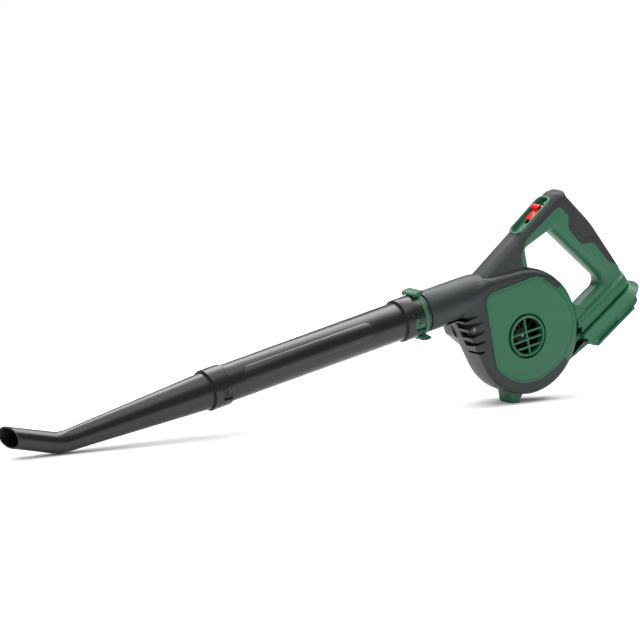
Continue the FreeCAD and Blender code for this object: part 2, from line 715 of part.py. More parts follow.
def turned(name, loops, axis="Y_Axis"):
    body = new_body(name)
    for number, points in enumerate(loops):
        sketch = new_sketch(body, "profile%d" % number, plane="XY_Plane")
        outline(sketch, [corner(x, y) for x, y in points])
        revolve(body, sketch, axis=axis)
    return body


def ring_points(inner, outer, low, high):
    return [(inner, low), (outer, low), (outer, high), (inner, high)]


def build_motor():
    face = cell("motor_face")
    end = cell("casing_half") + cell("motor_cover_depth") - cell("shell_wall")
    can = cell("can_radius")
    thin = cell("can_wall")
    seat = cell("bearing_radius")
    wide = cell("bearing_width")
    bore = cell("shaft_radius") + cell("running_fit")
    hub = seat + thin
    case = turned("motor_can", [[(seat, face), (can, face), (can, end), (seat, end), (seat, end - wide),
                                 (hub, end - wide), (hub, end - thin), (can - thin, end - thin),
                                 (can - thin, face + thin), (hub, face + thin), (hub, face + wide),
                                 (seat, face + wide)]])
    bores = new_sketch(case, "bores", offset=-end)
    for side in (-1.0, 1.0):
        circle(bores, cell("motor_screw_set") * side, 0.0, cell("screw_radius"))
    pocket(case, bores, thin + 1.0, back=True)
    turned("front_bearing", [ring_points(bore, seat, face, face + wide)])
    turned("rear_bearing", [ring_points(bore, seat, end - wide, end)])
    shaft = cell("shaft_radius")
    turned("motor_rotor", [ring_points(shaft, cell("rotor_radius"), face + wide + 3.0, end - wide - 3.0)])
    turned("motor_shaft", [ring_points(0.0, shaft, -16.0, end - 1.0)])
    magnets = new_body("motor_magnets")
    arc = new_sketch(magnets, "arc", plane="XY_Plane")
    box_outline(arc, cell("rotor_radius") + 0.8, face + wide + 1.0, can - thin, end - wide - 1.0)
    turn = revolve(magnets, arc, angle=140.0, both=True, axis="Y_Axis")
    around(magnets, [turn], 2, axis="Y_Axis")


def build_impeller():
    body = new_body("impeller")
    back = cell("motor_face") - 3.0
    front = back - cell("fan_depth")
    shaft = cell("shaft_radius")
    disc_sketch = new_sketch(body, "disc", plane="XY_Plane")
    outline(disc_sketch, [corner(shaft, front), corner(cell("hub_radius"), front),
                          corner(cell("hub_radius"), back - cell("blade"), 3.0),
                          corner(cell("fan_radius"), back - cell("blade")),
                          corner(cell("fan_radius"), back), corner(shaft, back)])
    revolve(body, disc_sketch, axis="Y_Axis")
    blade = new_sketch(body, "blade", offset=-back)
    half = cell("blade") / 2.0
    outline(blade, [corner(cell("hub_radius") - 1.0, -half), corner(cell("fan_radius") * 0.6, -half, 40.0),
                    corner(cell("fan_radius") - 2.0, -half - 6.0), corner(cell("fan_radius") - 2.0, half - 6.0),
                    corner(cell("fan_radius") * 0.6, half, 38.0), corner(cell("hub_radius") - 1.0, half)])
    vane = pad(body, blade, cell("fan_depth"))
    around(body, [vane], 11, axis="Y_Axis")


# ---- base electrics ----

def build_electrics():
    floor = -cell("flange_low") + cell("shell_wall")
    board = new_body("control_board", tilt=cell("base_slope"))
    sheet_side = new_sketch(board, "edge")
    box_outline(sheet_side, 90.0, floor, 154.0, floor + 1.6)
    pad(board, sheet_side, (cell("waist_half") - cell("shell_wall")) * 2.0 - 1.0, both=True)
    block = new_body("contact_block", tilt=cell("base_slope"))
    body_side = new_sketch(block, "side")
    box_outline(body_side, 100.0, -cell("rail_low") - 1.0, 140.0, floor)
    pad(block, body_side, 30.0, both=True)
    mouth = new_sketch(block, "mouth")
    box_outline(mouth, 98.0, -cell("rail_low") - 2.0, 134.0, floor - 6.0)
    pocket(block, mouth, 24.0, both=True)
    blades = new_body("battery_contacts", tilt=cell("base_slope"))
    for number, across in enumerate((-9.0, -3.0, 3.0, 9.0)):
        blade = new_sketch(blades, "blade%d" % number, offset=across - 0.4)
        box_outline(blade, 106.0, -cell("rail_low"), 130.0, floor - 6.0)
        pad(blades, blade, 0.8)


# ---- tubes ----

def tube_body(name):
    return new_body(name, up=cell("duct_height"))


def turned_tube(body, name, points, cut=False):
    sketch = new_sketch(body, name)
    outline(sketch, [corner(x, r) for x, r in points])
    return revolve(body, sketch, cut=cut)


def slots(body, rear, pin_x, half):
    # Bayonet slot: in from the rear edge, then round to where the pin locks.
    slot = new_sketch(body, "slot")
    outline(slot, [corner(pin_x - half, -half * 4.2, half * 0.8), corner(rear + 2.0, -half * 4.2),
                   corner(rear + 2.0, -half * 2.0), corner(pin_x + half, -half * 2.0, 0.8),
                   corner(pin_x + half, half, half * 0.9), corner(pin_x - half, half, half * 0.9)])
    cut = pocket(body, slot, cell("collar_radius") + 2.0, back=True)
    around(body, [cut], 2)


def pins(body, pin_x, low, high):
    pin = new_sketch(body, "pin", offset=low)
    circle(pin, pin_x, 0.0, cell("pin_radius"))
    boss = pad(body, pin, high - low)
    around(body, [boss], 2)


def build_lock_ring():
    body = tube_body("lock_ring")
    front = band_x - cell("sleeve_length")
    inner = sleeve_radius - cell("sleeve_wall")
    rear = band_x
    edge = band_x - cell("ring_width")
    turned_tube(body, "ring", [(front, inner), (rear, inner), (rear, cell("collar_radius")),
                               (edge, cell("collar_radius")), (edge, sleeve_radius),
                               (front, sleeve_radius)])
    tab = new_sketch(body, "tab")
    over = cell("collar_radius") + 0.5
    outline(tab, [corner(edge - 4.5, over), corner(edge + 1.0, over), corner(edge + 1.0, over - 1.5),
                  corner(rear, over - 1.5), corner(rear + 6.0, over + 1.5), corner(rear + 6.0, over + 3.0),
                  corner(rear - 2.0, over + 4.5), corner(edge - 4.5, over + 2.5)])
    wing = revolve(body, tab, angle=50.0, both=True)
    around(body, [wing], 2)
    pins(body, collar_x - cell("pin_set"), sleeve_radius - 0.6, cell("collar_radius") - 0.3)


def build_middle_tube():
    body = tube_body("middle_tube")
    step = collar_front + cell("shoulder")
    neck = cell("tube_radius") - cell("tube_wall")
    end_neck = cell("tube_end_radius") - cell("tube_wall")
    tube_end = nozzle_collar_front + cell("shoulder") + cell("washer") + 0.4
    turned_tube(body, "wall", [(tube_end, end_neck), (step, neck), (step, collar_bore),
                               (collar_x, collar_bore), (collar_x, cell("collar_radius")),
                               (collar_front, cell("collar_radius")), (collar_front, cell("tube_radius")),
                               (nozzle_collar_x, cell("tube_end_radius")),
                               (tube_end, cell("tube_end_radius"))])
    slots(body, collar_x, collar_x - cell("pin_set"), cell("pin_radius") + cell("slot_room"))
    pins(body, nozzle_collar_x - cell("pin_set"), cell("tube_end_radius") - 0.6,
         cell("tube_end_radius") + cell("turn_fit") + cell("collar_wall") - 0.3)


def build_nozzle():
    body = tube_body("nozzle")
    rise = cell("tip_rise")
    slope = cell("tool_slope")
    tip = cell("tip_radius")
    # The bend sits where its underside touches the ground.
    axis_lift = cell("fan_height") + cosine(slope) * cell("duct_height") - tip
    bend_x = -(axis_lift / sine(slope))
    outer = nozzle_bore + cell("collar_wall")
    step = nozzle_collar_front + cell("shoulder")
    thin = cell("nozzle_wall")
    turned_tube(body, "collar", [(nozzle_collar_front, cell("nozzle_radius") - thin),
                                 (step, cell("nozzle_radius") - thin), (step, nozzle_bore),
                                 (nozzle_collar_x - cell("turn_fit"), nozzle_bore),
                                 (nozzle_collar_x - cell("turn_fit"), outer),
                                 (nozzle_collar_front, outer)])
    turned_tube(body, "cone", [(bend_x, 0.0), (nozzle_collar_front + 1.0, 0.0),
                               (nozzle_collar_front + 1.0, cell("nozzle_radius")), (bend_x, tip)])
    ball(body, "knee", bend_x, tip, False)
    tip_run(body, "tip", bend_x, tip, cell("tip_length"), False)
    turned_tube(body, "inside", [(bend_x, 0.0), (nozzle_collar_front + 2.0, 0.0),
                                 (nozzle_collar_front + 2.0, cell("nozzle_radius") - thin),
                                 (bend_x, tip - thin)], cut=True)
    ball(body, "hollow", bend_x, tip - thin, True)
    tip_run(body, "throat", bend_x, tip - thin, cell("tip_length") + 20.0, True)
    mouth = tip_sketch(body, "mouth", bend_x)
    length = cell("tip_length")
    outline(mouth, [corner(-length + tip, -tip - 2.0), corner(-length - tip - 2.0, tip + 2.0),
                    corner(-length - tip * 3.0, tip + 2.0), corner(-length - tip * 3.0, -tip - 2.0)])
    pocket(body, mouth, tip * 2.0 + 4.0, both=True)
    slots(body, nozzle_collar_x, nozzle_collar_x - cell("pin_set"), cell("pin_radius") + cell("slot_room"))
    return bend_x


def ball(body, name, x, radius, cut):
    # Half a disc on the tube's axis, turned into a ball.
    sketch = new_sketch(body, name)
    ring = Part.Circle(Vector(number_of(x), 0, 0), Vector(0, 0, 1), number_of(radius))
    arc = sketch.addGeometry(Part.ArcOfCircle(ring, 0, math.pi), False)
    base = sketch.addGeometry(Part.LineSegment(Vector(number_of(x - radius), 0, 0),
                                               Vector(number_of(x + radius), 0, 0)), False)
    sketch.addConstraint(Sketcher.Constraint("Coincident", arc, 2, base, 1))
    sketch.addConstraint(Sketcher.Constraint("Coincident", arc, 1, base, 2))
    sketch.addConstraint(Sketcher.Constraint("Horizontal", base))
    sketch.addConstraint(Sketcher.Constraint("PointOnObject", arc, 3, -1))
    sketch.addConstraint(Sketcher.Constraint("PointOnObject", arc, 1, -1))
    fix_reach(sketch, "DistanceX", arc, 3, x)
    fix_radius(sketch, arc, radius)
    return revolve(body, sketch, cut=cut)


def tip_sketch(body, name, bend_x):
    sketch = new_sketch(body, name)
    sketch.AttachmentOffset = Placement(Vector(0, 0, 0), Rotation(Vector(0, 0, -1), 1.0))
    bind(sketch, "AttachmentOffset.Base.x", bend_x)
    bind(sketch, "AttachmentOffset.Rotation.Angle", cell("tip_rise"))
    return sketch


def tip_run(body, name, bend_x, radius, length, cut):
    sketch = tip_sketch(body, name, bend_x)
    outline(sketch, [corner(-length - cell("tip_radius"), 0.0), corner(0.0, 0.0), corner(0.0, radius),
                     corner(-length - cell("tip_radius"), radius)])
    axle = sketch.addGeometry(Part.LineSegment(Vector(-50, 0, 0), Vector(0, 0, 0)), True)
    fix_point(sketch, axle, 1, -50.0, 0.0)
    sketch.addConstraint(Sketcher.Constraint("Coincident", axle, 2, -1, 1))
    doc.recompute()
    feature = add_feature(body, "Groove" if cut else "Revolution", "turn_" + name, sketch)
    feature.ReferenceAxis = (sketch, ["Axis0"])
    feature.Angle = 360
    return feature


def build_washers():
    for name, front, outer, inner in (("outlet_washer", collar_front, collar_bore,
                                       cell("tube_radius") - cell("tube_wall")),
                                      ("nozzle_washer", nozzle_collar_front, nozzle_bore,
                                       cell("nozzle_radius") - cell("nozzle_wall"))):
        body = tube_body(name)
        face = front + cell("shoulder")
        turned_tube(body, "ring", [(face, inner), (face + cell("washer"), inner),
                                   (face + cell("washer"), outer - 0.1), (face, outer - 0.1)])


# ---- fasteners and leads ----

def screw_seats(body, spots, half, left, boss_length):
    # Bosses from the split plane to the wall, bored and, on the left, counterbored.
    posts = new_sketch(body, "posts")
    for along, up in spots:
        circle(posts, along, up, cell("boss_radius"))
    pad(body, posts, boss_length, back=not left)
    bores = new_sketch(body, "bores")
    for along, up in spots:
        circle(bores, along, up, cell("screw_radius") + (0.1 if left else 0.0))
    if left:
        pocket(body, bores, None, back=True)
        heads = new_sketch(body, "heads", offset=half)
        for along, up in spots:
            circle(heads, along, up, cell("screw_head") + 0.2)
        pocket(body, heads, cell("head_sink"))
    else:
        pocket(body, bores, cell("screw_bite"))


def build_screws(name, spots, half):
    body = new_body(name)
    sink = cell("head_sink")
    shank = half - sink + cell("screw_bite") - 0.5
    for part_name, radius, length, back in (("heads", cell("screw_head"), sink - 0.6, False),
                                            ("shanks", cell("screw_radius"), shank, True)):
        sketch = new_sketch(body, part_name, offset=half - sink)
        for along, up in spots:
            circle(sketch, along, up, radius)
        pad(body, sketch, length, back=back)


def build_motor_screws():
    body = new_body("motor_screws")
    outer = cell("casing_half") + cell("motor_cover_depth")
    for part_name, radius, length, back in (("heads", cell("screw_head"), 1.8, False),
                                            ("shanks", cell("screw_radius"), cell("shell_wall") + 4.0, True)):
        sketch = new_sketch(body, part_name, offset=-outer)
        for side in (-1.0, 1.0):
            circle(sketch, cell("motor_screw_set") * side, 0.0, radius)
        pad(body, sketch, length, back=not back)


def build_leads():
    # Two leads from the control board up through the grip to the switch.
    radius = 1.3
    route = [(159.2, 1.4), (145.0, 32.0), (143.0, 62.0), (124.0, 100.0), (99.0, 138.0), (75.2, 141.3)]
    points = [Vector(x, 0, z) for x, z in route]
    edges = []
    start = points[0]
    for i in range(1, len(points) - 1):
        back = (points[i - 1] - points[i]).normalize()
        ahead = (points[i + 1] - points[i]).normalize()
        turn = math.pi - back.getAngle(ahead)
        setback = min((points[i] - points[i - 1]).Length, (points[i + 1] - points[i]).Length) * 0.45
        bend = setback / math.tan(turn / 2)
        enter = points[i] + back * setback
        leave = points[i] + ahead * setback
        middle = (back + ahead).normalize()
        centre = points[i] + middle * math.hypot(bend, setback)
        top = centre - middle * bend
        edges += [Part.LineSegment(start, enter).toShape(), Part.Arc(enter, top, leave).toShape()]
        start = leave
    edges.append(Part.LineSegment(start, points[-1]).toShape())
    runs = []
    for across in (-2.2, 2.2):
        path = Part.Wire(edges)
        path.translate(Vector(0, across, 0))
        ring = Part.Wire(Part.makeCircle(radius, points[0] + Vector(0, across, 0), points[1] - points[0]))
        runs.append(path.makePipeShell([ring], True, False))
    leads = doc.addObject("Part::Feature", "power_leads")
    leads.Label = "power_leads"
    leads.Shape = Part.makeCompound(runs)
    leads.Placement = Placement(Vector(dimensions["fan_setback"], 0, dimensions["fan_height"]),
                                Rotation(Vector(0, -1, 0), dimensions["tool_slope"]))


build_casing("left_casing", True)
build_casing("right_casing", False)
build_handle("left_handle", True)
build_handle("right_handle", False)
build_overmold()
build_switch()
build_fan_cover()
build_motor_cover()
build_foot()
build_motor()
build_impeller()
build_electrics()
build_lock_ring()
build_middle_tube()
build_nozzle()
build_washers()
build_screws("casing_screws", casing_screws, cell("casing_half"))
build_screws("handle_screws", handle_screws, cell("bar_half"))
build_motor_screws()
build_leads()

doc.recompute()
subparts = [thing for thing in doc.Objects
            if thing.isDerivedFrom("PartDesign::Body") or thing.Label == "power_leads"]
faults = [thing.Name for thing in doc.Objects if "Invalid" in thing.State or "Error" in thing.State]
faults += [thing.Label for thing in subparts if thing.Shape.isNull() or not thing.Shape.isValid()]
if faults:
    raise RuntimeError("did not build: " + ", ".join(faults))
os.makedirs("parts", exist_ok=True)
for thing in subparts:
    box = thing.Shape.BoundBox
    print("%-18s" % thing.Label, len(thing.Shape.Solids), "solids, mm",
          " ".join("%.1f" % v for v in (box.XMin, box.XMax, box.YMin, box.YMax, box.ZMin, box.ZMax)))
    thing.Shape.exportStep("parts/%s.step" % thing.Label)
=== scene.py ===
import json
import math

import bmesh
import bpy
from mathutils import Matrix, Vector


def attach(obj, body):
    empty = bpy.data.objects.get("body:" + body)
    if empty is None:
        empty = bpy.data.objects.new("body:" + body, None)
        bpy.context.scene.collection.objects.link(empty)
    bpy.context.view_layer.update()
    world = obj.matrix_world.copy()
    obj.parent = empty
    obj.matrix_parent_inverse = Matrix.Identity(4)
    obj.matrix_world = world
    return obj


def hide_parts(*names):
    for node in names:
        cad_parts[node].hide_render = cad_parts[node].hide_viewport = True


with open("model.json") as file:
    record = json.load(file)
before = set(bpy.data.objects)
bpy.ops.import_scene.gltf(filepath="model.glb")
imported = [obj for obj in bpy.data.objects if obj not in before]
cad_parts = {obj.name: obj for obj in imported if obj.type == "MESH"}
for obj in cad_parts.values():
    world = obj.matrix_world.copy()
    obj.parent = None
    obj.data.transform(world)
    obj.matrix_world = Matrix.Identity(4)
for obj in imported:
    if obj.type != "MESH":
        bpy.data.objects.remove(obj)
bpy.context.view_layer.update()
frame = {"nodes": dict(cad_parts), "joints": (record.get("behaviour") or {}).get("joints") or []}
mm = 0.001
joints = {joint["name"]: joint for joint in frame["joints"]}

# Places. The tool is modelled level and in millimetres: x along the air tube with the
# nozzle at -x, z up, origin on the fan axis.
stance = {"pitch": 12.0, "barSlope": 28.2, "barStart": (18.0, 124.2), "baseSlope": 25.0, "ductHeight": 69.0}
fanPoint = Vector(joints["rotor_spin"]["pos_m"])
toolPlace = (Matrix.Translation(fanPoint) @ Matrix.Rotation(-math.radians(stance["pitch"]), 4, "Y")
             @ Matrix.Scale(mm, 4))
barPlace = (toolPlace @ Matrix.Translation((stance["barStart"][0], 0, stance["barStart"][1]))
            @ Matrix.Rotation(-math.radians(stance["barSlope"]), 4, "Y"))
basePlace = toolPlace @ Matrix.Rotation(-math.radians(stance["baseSlope"]), 4, "Y")
tubePlace = toolPlace @ Matrix.Translation((0, 0, stance["ductHeight"]))
standUp = Matrix(((1, 0, 0, 0), (0, 0, 1, 0), (0, 1, 0, 0), (0, 0, 0, 1)))  # an outline drawn in plan


# Outlines: a closed belt of corners and discs, drawn in x and z.

def corner(x, z, radius=0.0, rounding=(0, 0, 90)):
    # rounding belongs to the line that leaves this corner: inset, depth, sweep
    return {"x": x, "z": z, "radius": radius, "turn": 0, "rounding": rounding}


def disc(x, z, radius, turn=1, rounding=(0, 0, 90)):
    # the belt runs round a disc: turn 1 keeps it on the left, -1 on the right
    return {"x": x, "z": z, "radius": radius, "turn": turn, "rounding": rounding}


def corners(*points):
    return [corner(*point) for point in points]


def oblong(start, end, low, high, front, rear):
    return corners((start, low, front), (end, low, rear), (end, high, rear), (start, high, front))


def beltLines(elements):
    lines = []
    for index, first in enumerate(elements):
        second = elements[(index + 1) % len(elements)]
        start = Vector((first["x"], first["z"]))
        end = Vector((second["x"], second["z"]))
        reachA = first["radius"] * first["turn"]
        reachB = second["radius"] * second["turn"]
        span = end - start
        heading = math.atan2(span.y, span.x) + math.asin((reachA - reachB) / span.length)
        ahead = Vector((math.cos(heading), math.sin(heading)))
        right = Vector((ahead.y, -ahead.x))
        lines.append((start + right * reachA, ahead))
    return lines


def crossing(pointA, aheadA, pointB, aheadB):
    cross = aheadA.x * aheadB.y - aheadA.y * aheadB.x
    if abs(cross) < 1e-6:
        return pointB.copy()
    gap = pointB - pointA
    return pointA + aheadA * ((gap.x * aheadB.y - gap.y * aheadB.x) / cross)


def beltPoints(elements, share=0.0, flatInset=None, arcStep=2.2):
    # One ring of the outline. Every line moves inwards by its own rounding at this share of
    # the sweep, or all by flatInset. Gives (x, z, depth share data) per point.
    base = beltLines(elements)
    insets = []
    for element in elements:
        inset, depth, sweep = element["rounding"]
        if flatInset is not None:
            insets.append(flatInset)
        elif inset == 0:
            insets.append(0.0)
        else:
            angle = math.radians(sweep)
            insets.append(inset * (1 - math.cos(angle * share)) / (1 - math.cos(angle)))
    moved = [(point + Vector((-ahead.y, ahead.x)) * insets[i], ahead) for i, (point, ahead) in enumerate(base)]
    ring = []
    for i, element in enumerate(elements):
        before, after = moved[i - 1], moved[i]
        roundBefore, roundAfter = elements[i - 1]["rounding"], element["rounding"]
        turn = math.atan2(before[1].x * after[1].y - before[1].y * after[1].x, before[1].dot(after[1]))
        if element["turn"]:
            side = element["turn"]
            if turn * side < -1e-6:
                turn += 2 * math.pi * side
            steps = max(2, int(abs(turn) * element["radius"] / arcStep / 2) + 1)
            centre = Vector((element["x"], element["z"]))
            radii = [element["radius"] - side * insets[i - 1], element["radius"] - side * insets[i]]
            startAngle = math.atan2(-before[1].x * side, before[1].y * side)
        elif element["radius"] > 0:
            side = 1 if turn > 0 else -1
            steps = max(2, int(abs(turn) * element["radius"] / arcStep) + 2)
            radius = max(0.02, element["radius"] - side * min(insets[i - 1], insets[i]))
            tip = crossing(before[0], before[1], after[0], after[1])
            setback = radius * math.tan(abs(turn) / 2)
            centre = tip - before[1] * setback + Vector((-before[1].y, before[1].x)) * radius * side
            radii = [radius, radius]
            startAngle = math.atan2(-before[1].x * side, before[1].y * side)
        else:
            tip = crossing(before[0], before[1], after[0], after[1])
            ring.append((tip.x, tip.y, roundAfter if roundAfter[0] >= roundBefore[0] else roundBefore))
            continue
        for step in range(steps + 1):
            part = step / steps
            angle = startAngle + turn * part
            radius = radii[0] + (radii[1] - radii[0]) * part
            blend = part * part * (3 - 2 * part)
            data = [roundBefore[k] + (roundAfter[k] - roundBefore[k]) * blend for k in range(3)]
            ring.append((centre.x + math.cos(angle) * radius, centre.y + math.sin(angle) * radius, data))
    return ring


# Solids: rings of points joined up into a skin, then cut and joined.

def meshPiece(name, verts, faces, place, material=None):
    mesh = bpy.data.meshes.new(name)
    mesh.from_pydata([place @ Vector(v) for v in verts], [], faces)
    mesh.update()
    piece = bpy.data.objects.new(name, mesh)
    bpy.context.scene.collection.objects.link(piece)
    if material:
        mesh.materials.append(material)
    tidyMesh(mesh)
    return piece


def tidyMesh(mesh, weld=0.00002):
    work = bmesh.new()
    work.from_mesh(mesh)
    bmesh.ops.remove_doubles(work, verts=work.verts, dist=weld)
    bmesh.ops.dissolve_degenerate(work, dist=weld / 2, edges=work.edges)
    bmesh.ops.recalc_face_normals(work, faces=work.faces)
    work.to_mesh(mesh)
    work.free()


def loftRings(name, rings, place, material=None, closed=False):
    # rings: lists of (x, y, z) with equal counts, capped at both ends unless closed
    count = len(rings[0])
    verts = [point for ring in rings for point in ring]
    faces = []
    for level in range(len(rings) if closed else len(rings) - 1):
        low = level * count
        high = ((level + 1) % len(rings)) * count
        for i in range(count):
            j = (i + 1) % count
            faces.append((low + i, low + j, high + j, high + i))
    if not closed:
        faces.append(tuple(range(count)))
        faces.append(tuple(range((len(rings) - 1) * count, len(rings) * count)))
    return meshPiece(name, verts, faces, place, material)


def roundedSlab(name, elements, low, high, place, material=None, steps=6, ends=(True, True)):
    # A slab across y whose rims are rounded line by line, at the low end, the high end or both.
    rings = []
    shares = [k / steps for k in range(steps + 1)]
    if ends[0]:
        for share in shares[::-1]:
            rings.append([(x, low + depthAt(data, share), z) for x, z, data in beltPoints(elements, share)])
    else:
        rings.append([(x, low, z) for x, z, data in beltPoints(elements, 0.0)])
    if ends[1]:
        for share in shares:
            rings.append([(x, high - depthAt(data, share), z) for x, z, data in beltPoints(elements, share)])
    else:
        rings.append([(x, high, z) for x, z, data in beltPoints(elements, 0.0)])
    return loftRings(name, rings, place, material)


def depthAt(data, share):
    inset, depth, sweep = data
    if depth == 0:
        return 0.0
    angle = math.radians(sweep)
    return depth * (1 - math.sin(angle * share) / math.sin(angle))


def profileSlab(name, elements, profile, place, material=None):
    # profile: (inset, height) pairs, the same all the way round
    rings = [[(x, height, z) for x, z, data in beltPoints(elements, flatInset=inset)]
             for inset, height in profile]
    return loftRings(name, rings, place, material)


def turnedPiece(name, elements, place, material=None, steps=96):
    # A ring about the x axis from a closed outline of (x, radius).
    profile = [(x, max(z, 0.0)) for x, z, data in beltPoints(elements, 0.0, arcStep=0.8)]
    rings = []
    for k in range(steps):
        angle = 2 * math.pi * k / steps
        rings.append([(x, r * math.sin(angle), r * math.cos(angle)) for x, r in profile])
    return loftRings(name, rings, place, material, closed=True)


def block(name, low, high, place, material=None):
    (x0, y0, z0), (x1, y1, z1) = low, high
    ring = [(x0, z0), (x1, z0), (x1, z1), (x0, z1)]
    return loftRings(name, [[(x, y, z) for x, z in ring] for y in (y0, y1)], place, material)


def rod(name, x, z, radius, low, high, place, material=None, steps=40):
    ring = [(x + radius * math.cos(2 * math.pi * k / steps), z + radius * math.sin(2 * math.pi * k / steps))
            for k in range(steps)]
    return loftRings(name, [[(a, y, b) for a, b in ring] for y in (low, high)], place, material)


def carve(piece, tools, operation="DIFFERENCE"):
    for tool in tools:
        if not tool.data.materials:
            tool.data.materials.append(piece.data.materials[0] if piece.data.materials else None)
        step = piece.modifiers.new("carve", "BOOLEAN")
        step.material_mode = "TRANSFER"
        step.operation = operation
        step.solver = "EXACT"
        step.object = tool
    applyModifiers(piece)
    for tool in tools:
        bpy.data.objects.remove(tool)
    return piece


def applyModifiers(piece):
    bpy.context.view_layer.update()
    solid = bpy.data.meshes.new_from_object(piece.evaluated_get(bpy.context.evaluated_depsgraph_get()))
    piece.modifiers.clear()
    old = piece.data
    piece.data = solid
    bpy.data.meshes.remove(old)
    tidyMesh(solid)


def copyOf(piece, name):
    other = bpy.data.objects.new(name, piece.data.copy())
    bpy.context.scene.collection.objects.link(other)
    return other


def finishPiece(piece, body, nodes=(), sharp=32.0, edge=0.0):
    if edge:
        bevel = piece.modifiers.new("edge", "BEVEL")
        bevel.width = edge * mm
        bevel.segments = 2
        bevel.limit_method = "ANGLE"
        bevel.angle_limit = math.radians(40)
        bevel.use_clamp_overlap = True
        applyModifiers(piece)
    piece.data.shade_smooth()
    piece.data.set_sharp_from_angle(angle=math.radians(sharp))
    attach(piece, body)
    if nodes:
        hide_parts(*nodes)
    print("made", piece.name, len(piece.data.polygons), "faces")
    return piece


# Materials: one look for each finish, all made the same way.

def linearColour(text):
    values = [int(text[i:i + 2], 16) / 255 for i in (1, 3, 5)]
    return [v / 12.92 if v <= 0.04045 else ((v + 0.055) / 1.055) ** 2.4 for v in values] + [1.0]


def addNode(tree, kind, settings=None, links=None):
    node = tree.nodes.new(kind)
    for key, value in (settings or {}).items():
        if key in node.inputs:
            node.inputs[key].default_value = value
        else:
            setattr(node, key, value)
    for key, source in (links or {}).items():
        tree.links.new(source, node.inputs[key])
    return node


driftMm = 40.0  # how far apart a surface's slow changes of colour lie


def plainMaterial(name, look):
    # Moulded plastics, rubbers and metals: a colour that drifts a little, and a fine grain.
    material = bpy.data.materials.new(name)
    material.use_nodes = True
    tree = material.node_tree
    shader = tree.nodes["Principled BSDF"]
    shader.inputs["Metallic"].default_value = look.get("metallic", 0.0)
    if "specular" in look:
        shader.inputs["Specular IOR Level"].default_value = look["specular"]
    place = addNode(tree, "ShaderNodeTexCoord").outputs["Object"]
    drift = addNode(tree, "ShaderNodeTexNoise", {"Scale": 1 / (driftMm * mm), "Detail": 3.0}, {"Vector": place})
    mix = addNode(tree, "ShaderNodeMix", {"data_type": "RGBA"})
    mix.inputs[6].default_value = linearColour(look["colour"])
    mix.inputs[7].default_value = linearColour(look["shade"])
    tree.links.new(drift.outputs["Fac"], mix.inputs[0])
    tree.links.new(mix.outputs[2], shader.inputs["Base Color"])
    rough = addNode(tree, "ShaderNodeMapRange", {"To Min": look["rough"][0], "To Max": look["rough"][1]},
                    {"Value": drift.outputs["Fac"]})
    tree.links.new(rough.outputs["Result"], shader.inputs["Roughness"])
    grain = addNode(tree, "ShaderNodeTexNoise", {"Scale": 1 / (look.get("grainMm", 0.7) * mm), "Detail": 2.0},
                    {"Vector": place})
    height = grain.outputs["Fac"]
    if "dotMm" in look:
        # rows of small domes, dotMm apart, in place of the grain
        parts = addNode(tree, "ShaderNodeSeparateXYZ", {}, {"Vector": place})
        waves = []
        for x, y, z in ((1, 0.5, 1), (1, 0.5, -1)):
            total = None
            for axis, share in (("X", x), ("Y", y), ("Z", z)):
                scaled = addNode(tree, "ShaderNodeMath", {"operation": "MULTIPLY"}, {0: parts.outputs[axis]})
                scaled.inputs[1].default_value = share * math.pi / (look["dotMm"] * mm)
                if total is None:
                    total = scaled.outputs[0]
                else:
                    total = addNode(tree, "ShaderNodeMath", {"operation": "ADD"},
                                    {0: total, 1: scaled.outputs[0]}).outputs[0]
            waves.append(addNode(tree, "ShaderNodeMath", {"operation": "SINE"}, {0: total}).outputs[0])
        dots = addNode(tree, "ShaderNodeMath", {"operation": "MULTIPLY"}, {0: waves[0], 1: waves[1]})
        height = addNode(tree, "ShaderNodeMath", {"operation": "MAXIMUM"}, {0: dots.outputs[0]}).outputs[0]
    bump = addNode(tree, "ShaderNodeBump", {"Strength": look["bump"], "Distance": look["bumpMm"] * mm},
                   {"Height": height})
    tree.links.new(bump.outputs["Normal"], shader.inputs["Normal"])
    return material


